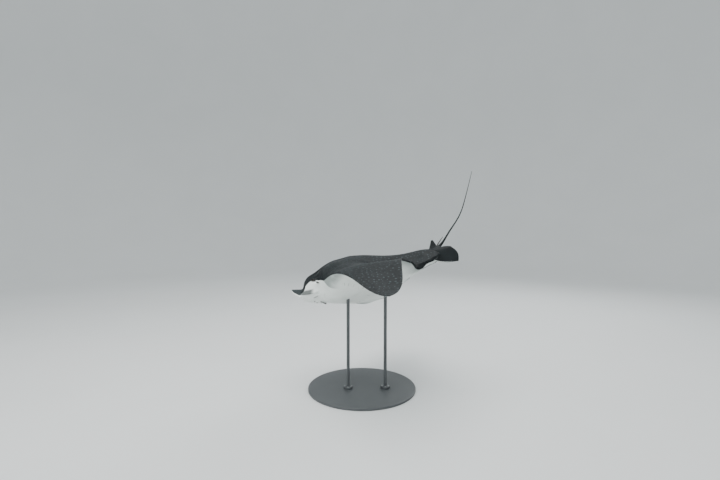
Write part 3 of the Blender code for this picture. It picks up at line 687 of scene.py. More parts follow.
def eye_oval(s, height):
    """Distance from an eye's centre as seen from its side, 1 on the rim of its opening."""
    behind = (s - EYE_STATION) / MM
    over = (height - EYE_HEIGHT) / MM
    along = behind * math.cos(EYE_SLANT) + over * math.sin(EYE_SLANT)
    across = over * math.cos(EYE_SLANT) - behind * math.sin(EYE_SLANT)
    return np.hypot(along / EYE_OPENING[0], across / EYE_OPENING[1])


def near_eye(s, y, height, side):
    """The skin round the opening of an eye."""
    return (eye_oval(s, height) < 1.45) & (np.abs(y) > 0.5 * half_width(s)) & (s < 0.2)


def near_gills(s, y, height, side):
    """The underside round the gill slits."""
    return (side < 0) & (s > 0.220) & (s < 0.302) & (np.abs(y) > 0.072) & (np.abs(y) < 0.160)


def at_wing_root(s, y, height, side):
    """Both faces of the skin round the front of a wing root, where it leaves the head."""
    reach = np.abs(y)
    behind_spiracle = s > np.where(side > 0, 0.128, 0.144)
    return (side != 0) & behind_spiracle & (s < 0.270) & (reach > 0.070) & (reach < 0.175)


def soften(mesh_data, near, rounds):
    """Relax the vertices that pass the test near(s, y, height, side), to round off a crease."""
    s, y, span, chord, side = read_layers(mesh_data)
    chosen = near(s, y, flat_height(s, y, side, span, chord), side)
    verts = [vert for vert, is_near in zip(mesh_data.verts, chosen) if is_near]
    for _ in range(rounds):
        bmesh.ops.smooth_vert(mesh_data, verts=verts, factor=0.5,
                              use_axis_x=True, use_axis_y=True, use_axis_z=True)


def hump(distance, width):
    """A soft hump, 1 where distance is 0."""
    return np.exp(-(distance / width) ** 2)


def beside_face(s, reach):
    """1 on the sides of the head, falling to 0 towards its midline."""
    return ease(reach, 0.04, 0.06) * (s < 0.2)


def on_cheek(s, height, line):
    """Height over a line along the side of the head, in millimetres."""
    return (height - np.interp(s, *line)) / MM


def eye_centre(hand):
    """Flat place of an eye's centre, a little under the skin."""
    reach = np.linspace(0, half_width(EYE_STATION), 400)
    zero = 0 * reach
    height = flat_height(EYE_STATION + zero, reach, 1 + zero, zero, zero)
    skin_reach = reach[height >= EYE_HEIGHT].max()
    return np.array([EYE_STATION, hand * (skin_reach - EYE_SINK), EYE_HEIGHT])


def brow_relief(s, reach, height, side):
    """A brow over the eye and a dip under it; the lids themselves are set by eye_lids."""
    at_side = beside_face(s, reach)
    brow = hump(s - EYE_STATION - 0.002, 0.020) * hump(height - EYE_HEIGHT - 0.013, 0.0070)
    dip = hump(height - EYE_HEIGHT + 0.012, 0.0050) * hump(s - EYE_STATION, 0.013)
    return (0.0040 * brow - 0.0022 * dip) * at_side, 0 * s


def spiracle_relief(s, reach, height, side):
    """The breathing hole behind the eye, with a soft rim."""
    at_side = beside_face(s, reach)
    behind = s - SPIRACLE[0]
    oval = np.hypot(behind / 0.0080, (height - SPIRACLE[1] + 0.35 * behind) / 0.0042)
    opening = (1 - ease(oval, 0.55, 1.05)) * at_side
    return 0.0018 * hump(oval - 1.3, 0.3) * at_side - 0.0110 * opening, opening


def lip_relief(s, reach, height, side):
    """A ridge that carries the lobe's edge back along the side of the head, over a slit."""
    at_side = beside_face(s, reach)
    over_lip = on_cheek(s, height, LIP_LINE)
    along_lip = ease(s, 0.030, 0.055) * (1 - ease(s, 0.112, 0.132)) * at_side
    along_slit = ease(s, 0.088, 0.100) * (1 - ease(s, 0.113, 0.124)) * at_side
    ridge = (0.0060 * hump(over_lip - 1, 6.5) - 0.0045 * hump(over_lip - 13, 7.5)) * along_lip
    slit = hump(over_lip + 6.5, 2.6) * along_slit
    return ridge - 0.0055 * slit, 0.5 * slit


def mouth_relief(s, reach, height, side):
    """The mouth: a slit across the underside, bowed back at the middle, between two lips."""
    under = (side < 0) * (1 - ease(reach, MOUTH_REACH * 0.85, MOUTH_REACH))
    behind = s - MOUTH_STATION + MOUTH_BOW * (reach / MOUTH_REACH) ** 2
    slit = hump(behind, 0.0019) * under
    lips = 0.0030 * hump(behind + 0.0060, 0.0042) + 0.0026 * hump(behind - 0.0060, 0.0050)
    return lips * under - 0.0075 * slit, slit


def nostril_relief(s, reach, height, side):
    """The nostrils in front of the mouth's corners."""
    pit = np.hypot((s - NOSTRIL[0]) / 0.0045, (reach - NOSTRIL[1]) / 0.0065)
    opening = (1 - ease(pit, 0.4, 1.0)) * (side < 0)
    return -0.0055 * opening, opening


def gill_relief(s, reach, height, side):
    """The gill slits on the underside, each behind a low flap."""
    out = np.zeros_like(s)
    hollow_shade = np.zeros_like(s)
    for station, middle in GILL_SLITS:
        along = (reach - middle) / GILL_HALF_LENGTH
        behind = s - station - 0.006 * along - 0.0015 * along**2
        under = (side < 0) * (1 - ease(np.abs(along), 0.6, 1.0))
        slit = hump(behind, 0.0013) * under
        out += 0.0024 * hump(behind + 0.0040, 0.0032) * under - 0.0034 * slit
        # painted shade in the slit
        hollow_shade = np.maximum(hollow_shade, 0.55 * slit)
    return out, hollow_shade


# each relief gives its rise in metres and a mask, 0 to 1, of painted shade in its slit, pit or opening
RELIEFS = (brow_relief, spiracle_relief, lip_relief, mouth_relief, nostril_relief, gill_relief)


def relief(s, y, height, side):
    """Relief of the skin in metres, above 0 on a rise, and the painted shade of its hollows, 0 to 1."""
    parts = [part(s, np.abs(y), height, side) for part in RELIEFS]
    return sum(out for out, _ in parts), np.max([hollow_shade for _, hollow_shade in parts], axis=0)


def painted_lobe_shade(s, height):
    """Strength of the painted shade that runs back from the lobe over the lip, a grey patch, 0 to 1."""
    over_lip = on_cheek(s, height, LIP_LINE)
    rear_end = 0.103 + 0.0003 * (over_lip - 12)
    along = ease(s, 0.040, 0.052) * (1 - ease(s - rear_end, -0.016, 0.004)) * (s < 0.12)
    return ease(over_lip, 7, 12) * (1 - ease(over_lip, 28, 37)) * along


def eye_lids(places, s, y, height, hollow_shade):
    """Set the skin round each eyeball: folded in behind its opening, and clear of it elsewhere."""
    radius = EYE_RADIUS * DISC_WIDTH
    for hand in (1, -1):
        centre = np.array(one_posed(*eye_centre(hand)))
        near = (np.linalg.norm(places - centre, axis=1) < radius + 0.020) & (y * hand > 0) & (s < 0.2)
        away = places[near] - centre
        distance = np.linalg.norm(away, axis=1)
        oval = eye_oval(s[near], height[near])
        inside = 1 - ease(oval, 0.90, 1.04)
        rolled = radius + 0.0011 + 0.0016 * hump(oval - 1.22, 0.22)
        outside = np.maximum(distance, rolled)
        wanted = outside * (1 - inside) + (radius - 0.0040) * inside
        places[near] = centre + away * (wanted / distance)[:, None]
        # painted shade in the eye's opening and in the fold of its lids
        hollow_shade[near] = np.maximum(hollow_shade[near], np.maximum(inside, 0.85 * hump(oval - 1.08, 0.10)))
    return places


def dark_depth(s, y, height, side, span):
    """How far a place lies inside the dark colour of the back, in millimetres."""
    reach = np.abs(y)
    from_front, from_back, to_side = to_edges(s, reach)
    on_head = on_cheek(s, height, DARK_LINE)
    on_lobe = np.where(side > 0, to_side / MM - 4, -20)
    head = np.where(s < DARK_LINE[0][0], on_lobe, on_head)
    in_front = from_front < from_back
    edge_inside = np.minimum(from_front, from_back) / MM
    under_wing = np.where(in_front, -FRONT_EDGE_DARK, BACK_EDGE_DARK) - edge_inside
    at_edge = np.where(in_front, FRONT_EDGE_DARK, BACK_EDGE_DARK)
    on_top = at_edge + np.minimum(np.abs(edge_inside), 60)
    wing = np.where(side > 0, on_top, np.where(side < 0, under_wing, at_edge))
    blend = ease(s, 0.138, 0.158)
    wing_or_head = head * (1 - blend) + wing * blend
    tail = np.where(side < 0, -8 + 60 * ease(s, 0.60, 0.66), 20)
    pelvic = np.where(side < 0, -6, 20)
    rear = np.where(span < 0, pelvic, tail)
    blend = np.where(span > 0, 0, ease(s, WING_BACK, WING_BACK + 0.01))
    return wing_or_head * (1 - blend) + rear * blend


def loft(mesh_data, rings, top=True):
    """Faces between rings of vertices that turn leftward going up, with a cap at each end."""
    for a, b in zip(rings, rings[1:]):
        for k in range(len(a)):
            after = (k + 1) % len(a)
            mesh_data.faces.new((a[k], a[after], b[after], b[k]))
    mesh_data.faces.new(rings[0][::-1])
    if top:
        mesh_data.faces.new(rings[-1])


def fin_shell(mesh_data):
    """The small swept fin on top of the tail root, flared into the back at its foot."""
    layers = [mesh_data.verts.layers.float[name] for name in FLAT_LAYERS]
    left = LEAN[:3, :3] @ at_station(np.array([DORSAL_BEND]), LEFT)[0] * DISC_WIDTH
    rings = []
    for share in np.linspace(0, 1, 41):
        low, crest = fin_outline(share)
        rise = crest - low
        height = np.linalg.norm(rise)
        low = low - rise / height * 0.0015
        full = FIN_THICKNESS * (0.35 + 0.65 * math.sin(math.pi * (0.12 + 0.76 * share)))
        verts = []
        for turn in np.linspace(-1, 1, 21):
            up = 1 - abs(turn) ** 1.5
            width = full * (1 - 0.75 * up) * min(1, abs(turn) / 0.12)
            width += FIN_FLARE * hump(up * height, 0.005)
            vert = mesh_data.verts.new(low + rise * up + left * math.copysign(width, turn) * (turn != 0))
            for layer, number in zip(layers, (DORSAL_FRONT + DORSAL_LENGTH * share, width, 0, 1, 1)):
                vert[layer] = number
            verts.append(vert)
        rings.append(verts)
    loft(mesh_data, rings)


def vertex_normals(mesh):
    """The mesh's vertex normals as an array."""
    normals = np.zeros(len(mesh.vertices) * 3)
    mesh.vertex_normals.foreach_get("vector", normals)
    return normals.reshape(-1, 3)


def write_attribute(mesh, name, kind, values):
    """Store one value for each vertex."""
    made = mesh.attributes.new(name, kind, "POINT")
    key = "vector" if kind == "FLOAT_VECTOR" else "value"
    made.data.foreach_set(key, np.ascontiguousarray(values, np.float32).ravel())


def new_object(name, data):
    """An object at the origin for some data, in the scene."""
    made = bpy.data.objects.new(name, data)
    bpy.context.scene.collection.objects.link(made)
    return made


def finish_mesh(name, mesh_data, finish):
    """A new smooth object for a bmesh in the model's frame."""
    mesh = bpy.data.meshes.new(name)
    mesh_data.to_mesh(mesh)
    mesh_data.free()
    mesh.materials.append(finish)
    mesh.shade_smooth()
    return new_object(name, mesh)


def skin_object(finish):
    """The whole skin, with its relief and the attributes that its material reads."""
    grids = [strip_grid(), wing_grid(1), wing_grid(-1), pelvic_grid(1), pelvic_grid(-1)]
    mesh_data = grid_mesh(grids)
    for near in (beside_head, round_face, near_eye, near_gills):
        refine(mesh_data, near)
    soften(mesh_data, at_wing_root, SOFTENING_ROUNDS)
    shell_start = len(mesh_data.verts)
    fin_shell(mesh_data)
    s, y, span, chord, side = read_layers(mesh_data)
    made = finish_mesh("ray_skin", mesh_data, finish)
    mesh = made.data
    height = flat_height(s, y, side, span, chord)
    out, hollow_shade = relief(s, y, height, side)
    out[shell_start:] = 0
    places = np.zeros(len(mesh.vertices) * 3)
    mesh.vertices.foreach_get("co", places)
    # the normals point into the body, so its rises are pressed in and its hollows stand out
    places = places.reshape(-1, 3) + vertex_normals(mesh) * out[:, None]
    places = eye_lids(places, s, y, height, hollow_shade)
    mesh.vertices.foreach_set("co", places.ravel())
    for name in FLAT_LAYERS:
        mesh.attributes.remove(mesh.attributes[name])
    flat = np.stack([s, y, height], 1) * DISC_WIDTH
    flat[shell_start:, 0] += 5
    write_attribute(mesh, "flat", "FLOAT_VECTOR", flat)
    dark = dark_depth(s, y, height, side, span)
    dark[shell_start:] = 20
    write_attribute(mesh, "dark", "FLOAT", dark)
    write_attribute(mesh, "hollow_shade", "FLOAT", hollow_shade)
    write_attribute(mesh, "shade", "FLOAT", painted_lobe_shade(s, height))
    from_front, from_back, _ = to_edges(s, np.abs(y))
    margin = np.where(span > 0, np.minimum(from_front, from_back), 1) * DISC_WIDTH
    write_attribute(mesh, "margin", "FLOAT", margin)
    write_attribute(mesh, "fan", "FLOAT_VECTOR", np.stack([chord, np.maximum(span, 0), 0 * span], 1))
    mesh.update()
    return made


def skin_material(settings):
    """Resin cast, painted and sealed satin: near-black slate above with small pale spots, and
    white below with a crisp line between, as wet ray skin looks."""
    made, tree, shader = new_material("painted_resin_ray_skin")
    flat = attribute(tree, "flat", "Vector")
    dark = attribute(tree, "dark")
    hollow_shade = attribute(tree, "hollow_shade")
    margin = attribute(tree, "margin")
    flat_parts = add_node(tree, "ShaderNodeSeparateXYZ", {0: flat})
    from_snout = flat_parts.outputs[0]

    # back: slate with faint blotches, a little lighter on the snout lobe
    blotches = noise(tree, flat, 70)
    fine = noise(tree, flat, 6, 5)
    back = (*settings.back_colour, 1)
    back = mixed(tree, stepped(tree, blotches, 0.35, 0.75), back, linear("#1c2224"))
    back = mixed(tree, stepped(tree, fine, 0.4, 0.8, 0, 0.5), back, linear("#0f1315"))
    back = mixed(tree, stepped(tree, from_snout, 0.085, 0.055), back, linear("#2c3436"))

    # spots: one in each cell of a loose lattice, of uneven size and strength
    wander = add_node(tree, "ShaderNodeTexNoise", {"Vector": flat, "Scale": 90.0, "Detail": 2.0})
    nudge = add_node(tree, "ShaderNodeVectorMath", {0: wander.outputs["Color"], 1: (0.5, 0.5, 0.5)},
                     operation="SUBTRACT")
    nudge = add_node(tree, "ShaderNodeVectorMath", {0: nudge.outputs[0], "Scale": 0.004},
                     operation="SCALE")
    place = add_node(tree, "ShaderNodeVectorMath", {0: flat, 1: nudge.outputs[0]}, operation="ADD")
    cells = add_node(tree, "ShaderNodeTexVoronoi", {
        "Vector": place.outputs[0], "Scale": 1 / settings.spot_spacing, "Randomness": 0.62},
        voronoi_dimensions="2D", feature="F1")
    cell_draw = add_node(tree, "ShaderNodeSeparateColor", {0: cells.outputs["Color"]})
    reach = maths(tree, "MULTIPLY_ADD", cell_draw.outputs[0], 0.08, 0.10)
    spot = stepped(tree, maths(tree, "SUBTRACT", cells.outputs["Distance"], reach), 0.03, -0.03)
    strength = maths(tree, "MULTIPLY_ADD", cell_draw.outputs[1], 0.55, 0.45)
    strength = maths(tree, "MULTIPLY", strength, stepped(tree, from_snout, 0.22, 0.34))
    strength = maths(tree, "MULTIPLY", strength, stepped(tree, from_snout, 0.87, 0.80))
    spot = maths(tree, "MULTIPLY", spot, strength)
    back = mixed(tree, spot, back, (*settings.spot_colour, 1))

    # belly: white, with grey clouds, a dusky margin on the wings and painted shade behind the snout lobe
    clouds = noise(tree, flat, 110, 4)
    belly = (*settings.belly_colour, 1)
    belly = mixed(tree, stepped(tree, clouds, 0.45, 0.8, 0, 0.5), belly, linear("#cfd8d2"))
    dusk = stepped(tree, margin, 0.060, 0.004)
    belly = mixed(tree, maths(tree, "MULTIPLY", dusk, stepped(tree, clouds, 0.2, 0.6, 0.3, 0.8)),
                  belly, linear("#7f8a87"))
    # painted shade: a dark grey patch behind the snout lobe, where the lobe shades the cheek
    belly = mixed(tree, maths(tree, "MULTIPLY", attribute(tree, "shade"), 0.86),
                  belly, linear("#3c4443"))
    uneven = maths(tree, "MULTIPLY_ADD", noise(tree, flat, 9, 3), 5.0, -2.5)
    line = stepped(tree, maths(tree, "ADD", dark, uneven), -1.6, 1.6)
    colour = mixed(tree, line, belly, back)
    # painted shade: near black in the slits, pits and openings, and in the fold round each eye
    colour = mixed(tree, stepped(tree, hollow_shade, 0.15, 0.75, 0, 0.92), colour, linear("#1c1a1a"))
    gloss = stepped(tree, noise(tree, flat, 14, 4), 0.3, 0.7, 0.50, 0.62)

    # relief: fine grain, and the cartilage rays that fan out through the wings
    fan = attribute(tree, "fan", "Vector")
    fan_parts = add_node(tree, "ShaderNodeSeparateXYZ", {0: fan})
    bent = maths(tree, "ADD", fan_parts.outputs[0], maths(tree, "MULTIPLY", blotches, 0.02))
    rays = maths(tree, "SINE", maths(tree, "MULTIPLY", bent, 2 * math.pi * 46))
    rays = maths(tree, "MULTIPLY", rays, stepped(tree, fan_parts.outputs[1], 0.12, 0.45, 0, 0.5))
    grain = maths(tree, "ADD", noise(tree, flat, 2.2, 4), maths(tree, "MULTIPLY", fine, 0.8))
    normal = bumped(tree, maths(tree, "ADD", grain, rays), 0.30, 0.0005)
    set_sockets(tree, shader, {
        "Base Color": colour, "Roughness": gloss, "Specular IOR Level": 0.22, "Normal": normal})
    return made


# ================================================================ eyes

def gaze(hand):
    """Direction in which an eye looks, in the model's frame."""
    flat_gaze = Vector((hand * 0.93, -0.20, 0.22)).normalized()
    return (Matrix(LEAN.tolist()).to_3x3() @ flat_gaze).normalized()


def eye_object(name, hand, finish):
    """An eyeball with a bulging cornea; its attribute holds the angle off its gaze."""
    centre = one_posed(*eye_centre(hand))
    axis = gaze(hand)
    mesh_data = bmesh.new()
    bmesh.ops.create_uvsphere(mesh_data, u_segments=96, v_segments=64, radius=1)
    turn = axis.to_track_quat("Z", "Y").to_matrix()
    radius = EYE_RADIUS * DISC_WIDTH - EYEBALL_GAP
    off_axis = []
    around = []
    for vert in mesh_data.verts:
        direction = vert.co.normalized()
        angle = math.acos(max(-1, min(1, direction.z)))
        off_axis.append(angle)
        around.append(math.atan2(direction.y, direction.x))
        bulge = 0.0007 * math.exp(-(angle / 0.42) ** 4)
        vert.co = centre + turn @ direction * (radius + bulge)
    made = finish_mesh(name, mesh_data, finish)
    write_attribute(made.data, "off_axis", "FLOAT", np.array(off_axis))
    write_attribute(made.data, "around", "FLOAT", np.array(around))
    return made


def eye_material(settings):
    """Glass eye of the kind set in display animals: a black oval pupil in a dark bronze iris
    under clear glass, so its highlight is small and sharp."""
    made, tree, shader = new_material("glass_eye")
    off_axis = attribute(tree, "off_axis")
    around = attribute(tree, "around")
    streak = add_node(tree, "ShaderNodeTexNoise", {
        "Vector": add_node(tree, "ShaderNodeCombineXYZ", {
            0: maths(tree, "MULTIPLY", around, 5.0), 1: maths(tree, "MULTIPLY", off_axis, 2.0)}).outputs[0],
        "Scale": 3.0, "Detail": 4.0})
    iris = mixed(tree, stepped(tree, streak.outputs["Fac"], 0.35, 0.7),
                 (*settings.iris_colour, 1), linear("#3a2b1a"))
    rim = mixed(tree, stepped(tree, off_axis, 0.50, 0.62), iris, linear("#0b0a0a"))
    colour = mixed(tree, stepped(tree, off_axis, 0.36, 0.30), rim, linear("#030303"))
    set_sockets(tree, shader, {"Base Color": colour, "Roughness": 0.12, "IOR": 1.45,
                               "Coat Weight": 0.2, "Coat Roughness": 0.02})
    return made


# ================================================================ tail spine

def spine_object(finish):
    """The spine's blade: flat below, with a shallow groove along its upper face."""
    mesh_data = bmesh.new()
    left, up = spine_frame()
    rings = []
    for share in np.linspace(SPINE_ROOT, 1, 53):
        middle, thick, half = spine_outline(share)
        rounded = 0.3 + 0.7 * math.sqrt(min(1, 1 - share / SPINE_ROOT))
        thick *= rounded
        half *= rounded
        ring = []
        for angle in np.linspace(0, 2 * np.pi, 20, endpoint=False):
            width = half * math.cos(angle)
            lift = 0.5 * thick * (1 + math.sin(angle))
            if math.sin(angle) > 0:
                lift -= 0.22 * thick * hump(width, 0.4 * half)
            ring.append(mesh_data.verts.new(middle + left * width + up * lift))
        rings.append(ring)
    loft(mesh_data, rings)
    bmesh.ops.recalc_face_normals(mesh_data, faces=mesh_data.faces)
    return finish_mesh("tail_spine", mesh_data, finish)


def new_group(name, numbers):
    """A Geometry Nodes group with geometry and some numbers going in, and its input node."""
    tree = bpy.data.node_groups.new(name, "GeometryNodeTree")
    for label, kind in {"Geometry": "Geometry", **numbers}.items():
        tree.interface.new_socket(label, in_out="INPUT", socket_type="NodeSocket" + kind)
    tree.interface.new_socket("Geometry", in_out="OUTPUT", socket_type="NodeSocketGeometry")
    return tree, add_node(tree, "NodeGroupInput")


def give_solid(tree, instances, finish):
    """End a group in one real, coated solid."""
    solid = add_node(tree, "GeometryNodeRealizeInstances", {0: instances})
    coated = add_node(tree, "GeometryNodeSetMaterial", {0: solid.outputs[0], "Material": finish})
    add_node(tree, "NodeGroupOutput", {0: coated.outputs[0]})


def barb_tree(finish):
    """Geometry Nodes: barbs at even steps along a curve, leaning back from its tip."""
    tree, given = new_group("spine_barbs", {"Count": "Int", "Length": "Float"})
    points = add_node(tree, "GeometryNodeCurveToPoints", {
        "Curve": given.outputs["Geometry"], "Count": given.outputs["Count"]}, mode="COUNT")
    barb = add_node(tree, "GeometryNodeMeshCone", {
        "Vertices": 8, "Radius Top": 0.0, "Radius Bottom": 0.22, "Depth": 1.0})
    tilt = add_node(tree, "FunctionNodeRotateRotation", {
        "Rotation": points.outputs["Rotation"],
        "Rotate By": add_node(tree, "FunctionNodeEulerToRotation", {
            0: (math.radians(38), 0.0, 0.0)}).outputs[0]}, rotation_space="LOCAL")
    placed = add_node(tree, "GeometryNodeInstanceOnPoints", {
        "Points": points.outputs["Points"], "Instance": barb.outputs["Mesh"],
        "Rotation": tilt.outputs[0], "Scale": given.outputs["Length"]})
    give_solid(tree, placed.outputs[0], finish)
    return tree


def made_plain(source, name, tree, inputs):
    """What a Geometry Nodes group makes of source, as a plain mesh object; source is removed.
    The inputs are set by their sockets' identifiers."""
    modifier = source.modifiers.new(name, "NODES")
    modifier.node_group = tree
    for socket in tree.interface.items_tree:
        if socket.in_out == "INPUT" and socket.name in inputs:
            modifier[socket.identifier] = inputs[socket.name]
    bpy.context.view_layer.update()
    graph = bpy.context.evaluated_depsgraph_get()
    mesh = bpy.data.meshes.new_from_object(source.evaluated_get(graph))
    mesh.name = name
    bpy.data.objects.remove(source, do_unlink=True)
    return new_object(name, mesh)


def barb_object(finish):
    """Two rows of barbs along the spine's edges."""
    curve = bpy.data.curves.new("spine_edges", "CURVE")
    curve.dimensions = "3D"
    left, up = spine_frame()
    for hand in (1, -1):
        spline = curve.splines.new("POLY")
        shares = np.linspace(0.97, 0.18, 24)
        spline.points.add(len(shares) - 1)
        for point, share in zip(spline.points, shares):
            middle, thick, half = spine_outline(share)
            point.co = (*(middle + left * hand * half * 0.9 + up * 0.5 * thick), 1)
    holder = new_object("spine_edges", curve)
    return made_plain(holder, "tail_spine_barbs", barb_tree(finish), {"Count": 26, "Length": 0.0030})


def spine_material():
    """Dentine of the tail spine, painted: dark horn brown with fine lengthwise streaks, dry
    beside the sealed skin."""
    made, tree, shader = new_material("painted_horn_spine")
    streaks = noise(tree, own_place(tree), 1.5, 4)
    colour = mixed(tree, stepped(tree, streaks, 0.35, 0.7), linear("#2b2724"), linear("#57504a"))
    set_sockets(tree, shader, {"Base Color": colour, "Roughness": 0.55,
                               "Normal": bumped(tree, streaks, 0.4, 0.0003)})
    return made


# ================================================================ stand

def circle(mesh_data, centre, radius, height, segments):
    """A level ring of new vertices round a centre."""
    angles = [2 * math.pi * k / segments for k in range(segments)]
    return [mesh_data.verts.new((centre.x + radius * math.cos(angle),
                                 centre.y + radius * math.sin(angle), height)) for angle in angles]


def turned(name, profile, centre, finish, segments):
    """A closed solid turned round a vertical axis from its (radius, height) profile."""
    mesh_data = bmesh.new()
    loft(mesh_data, [circle(mesh_data, centre, *place, segments) for place in profile])
    made = finish_mesh(name, mesh_data, finish)
    made.data.set_sharp_from_angle(angle=math.radians(40))
    return made


def rounded_corner(radius, height, fillet, start, end, steps=6):
    """Profile points of an arc about (radius, height), between two angles in degrees."""
    angles = np.radians(np.linspace(start, end, steps))
    return [(radius + fillet * math.cos(a), height + fillet * math.sin(a)) for a in angles]


def base_profile():
    """The base's edge: eased below, with a wider round above."""
    low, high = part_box("stand_base")
    radius = high.x
    top = high.z
    below = BASE_ROUND_BELOW
    above = BASE_ROUND_ABOVE
    profile = [(radius * 0.5, low.z)]
    profile += rounded_corner(radius - below, low.z + below, below, -90, 0, 4)
    profile += rounded_corner(radius - above, top - above, above, 0, 90)
    return profile + [(radius * 0.5, top), (radius * 0.02, top)]


def rod_profile(node):
    """A rod that rises from a screwed-down collar with a small fillet."""
    low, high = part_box(node)
    collar = (high.x - low.x) / 2
    step = COLLAR_STEP
    top = low.z + COLLAR_HEIGHT
    profile = [(collar, low.z)]
    profile += rounded_corner(collar - step, top - 2 * step, step, 0, 90, 5)
    profile += [(ROD_RADIUS + 2 * step, top - step)]
    profile += rounded_corner(ROD_RADIUS + 2 * step, top + step, 2 * step, -90, -180)
    return profile + [(ROD_RADIUS, high.z)]


def screw_tree(finish):
    """Geometry Nodes: button-head screws in a ring."""
    numbers = {"Count": "Int", "Ring radius": "Float", "Head radius": "Float"}
    tree, given = new_group("collar_screws", numbers)
    head_radius = given.outputs["Head radius"]
    ring = add_node(tree, "GeometryNodeMeshCircle", {
        "Vertices": given.outputs["Count"], "Radius": given.outputs["Ring radius"]})
    around = add_node(tree, "GeometryNodeInstanceOnPoints", {
        "Points": given.outputs["Geometry"], "Instance": ring.outputs[0]})
    spots = add_node(tree, "GeometryNodeRealizeInstances", {0: around.outputs[0]})
    head = add_node(tree, "GeometryNodeMeshUVSphere", {
        "Segments": 24, "Rings": 12, "Radius": head_radius})
    flat = add_node(tree, "GeometryNodeTransform", {0: head.outputs[0], "Scale": (1.0, 1.0, 0.5)})
    socket = add_node(tree, "GeometryNodeMeshCylinder", {
        "Vertices": 6, "Radius": maths(tree, "MULTIPLY", head_radius, 0.48), "Depth": head_radius})
    lifted = add_node(tree, "GeometryNodeTransform", {
        0: socket.outputs["Mesh"],
        "Translation": add_node(tree, "ShaderNodeCombineXYZ", {
            2: maths(tree, "MULTIPLY", head_radius, 0.72)}).outputs[0]})
    drilled = add_node(tree, "GeometryNodeMeshBoolean", {
        "Mesh 1": flat.outputs[0], "Mesh 2": lifted.outputs[0]}, operation="DIFFERENCE", solver="EXACT")
    screws = add_node(tree, "GeometryNodeInstanceOnPoints", {
        "Points": spots.outputs[0], "Instance": drilled.outputs[0]})
    give_solid(tree, screws.outputs[0], finish)
    return tree


def screws_object(count, finish):
    """The screws that hold both collars down on the base."""
    mesh = bpy.data.meshes.new("collar_centres")
    places = []
    for node in STAND_RODS:
        low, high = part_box(node)
        places.append(((low.x + high.x) / 2, (low.y + high.y) / 2, low.z + SCREW_LIFT))
    mesh.from_pydata(places, [], [])
    holder = new_object("collar_centres", mesh)
    inputs = {"Count": count, "Ring radius": SCREW_RING, "Head radius": SCREW_HEAD}
    return made_plain(holder, "stand_collar_screws", screw_tree(finish), inputs)


def coat_material(settings):
    """Powder-coated mild steel: satin, with the fine orange peel of a baked coat, drawn a
    little coarser than life so that it shows."""
    made, tree, shader = new_material("powder_coated_steel")
    place = own_place(tree)
    peel = noise(tree, place, 1.6, 2)
    uneven = stepped(tree, noise(tree, place, 160, 3), 0.3, 0.7, 0, 0.25)
    set_sockets(tree, shader, {
        "Base Color": mixed(tree, uneven, (*settings.steel_colour, 1), linear("#5a5e60")),
        "Roughness": stepped(tree, peel, 0.3, 0.7, 0.38, 0.48),
        "Normal": bumped(tree, peel, 0.25, 0.0004)})
    return made


def screw_material():
    """Stainless steel screws: bare metal, lightly brushed by the driver."""
    made, tree, shader = new_material("stainless_steel_screws")
    wear = noise(tree, own_place(tree), 0.8, 3)
    set_sockets(tree, shader, {"Base Color": mixed(tree, wear, linear("#a9abab"), linear("#cfd0d0")),
                               "Metallic": 1.0, "Roughness": 0.3})
    return made


# ================================================================ stage

def floor_object(finish):
    """A round pale floor whose rim curves up far behind the stand, so no horizon shows."""
    profile = [(0.02, 0.0), (1.0, 0.0), (FLOOR_RADIUS, 0.0)]
    profile += rounded_corner(FLOOR_RADIUS, FLOOR_SWEEP, FLOOR_SWEEP, 6 - 90, 0, 26)
    profile.append((FLOOR_RADIUS + FLOOR_SWEEP, FLOOR_TOP))
    mesh_data = bmesh.new()
    rings = [circle(mesh_data, Vector(), *place, 96)[::-1] for place in profile]
    loft(mesh_data, rings, top=False)
    return finish_mesh("studio_floor", mesh_data, finish)


def floor_material(settings):
    """Matt painted studio floor, rolled on, with barely uneven tone."""
    made, tree, shader = new_material("matt_studio_paint")
    tone = stepped(tree, noise(tree, own_place(tree), 900, 3), 0.3, 0.7, 0, 0.2)
    colour = mixed(tree, tone, (*settings.floor_colour, 1), linear("#d8dcdc"))
    set_sockets(tree, shader, {"Base Color": colour, "Roughness": 0.8})
    return made


def area_light(name, place, target, size, power, colour):
    """A square soft light that faces the target."""
    data = bpy.data.lights.new(name, "AREA")
    data.shape = "SQUARE"
    data.size = size
    data.energy = power
    data.color = colour
    made = new_object(name, data)
    made.location = place
    made.rotation_euler = (Vector(target) - Vector(place)).to_track_quat("-Z", "Y").to_euler()


def build_lights():
    """A large soft light overhead, a weaker one beside the camera and one behind."""
    middle = (0, 0, BODY_HEIGHT)
    area_light("overhead_light", (0.8, -0.6, 4.2), middle, 3.0, 150, (1.0, 0.99, 0.97))
    area_light("camera_side_light", (3.6, -1.8, 1.5), middle, 2.4, 45, (0.97, 0.99, 1.0))
    area_light("back_light", (-3.0, 2.0, 3.0), middle, 2.0, 60, (0.97, 0.99, 1.0))
    world = bpy.data.worlds.new("studio_air")
    world.use_nodes = True
    world.node_tree.nodes["Background"].inputs["Color"].default_value = linear("#e6e9eb")
    world.node_tree.nodes["Background"].inputs["Strength"].default_value = 1.05
    bpy.context.scene.world = world


def build_camera(settings):
    """The camera stands level beside the ray's left wing, a little behind and above it."""
    data = bpy.data.cameras.new("camera")
    data.lens = settings.camera_lens
    data.clip_end = 60
    made = new_object("camera", data)
    made.location = settings.camera_place
    made.rotation_euler = (math.pi / 2 + settings.camera_tilt, 0, settings.camera_heading)
    bpy.context.scene.camera = made


# ================================================================ operators

class RAY_OT_skin(bpy.types.Operator):
    """Build the skin, which stands for all the flesh of the model"""
    bl_idname = "ray.skin"
    bl_label = "Skin"

    def execute(self, context):
        made = skin_object(skin_material(context.scene.ray_skin))
        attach(made, BODY)
        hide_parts(*FLESH)
        return {"FINISHED"}


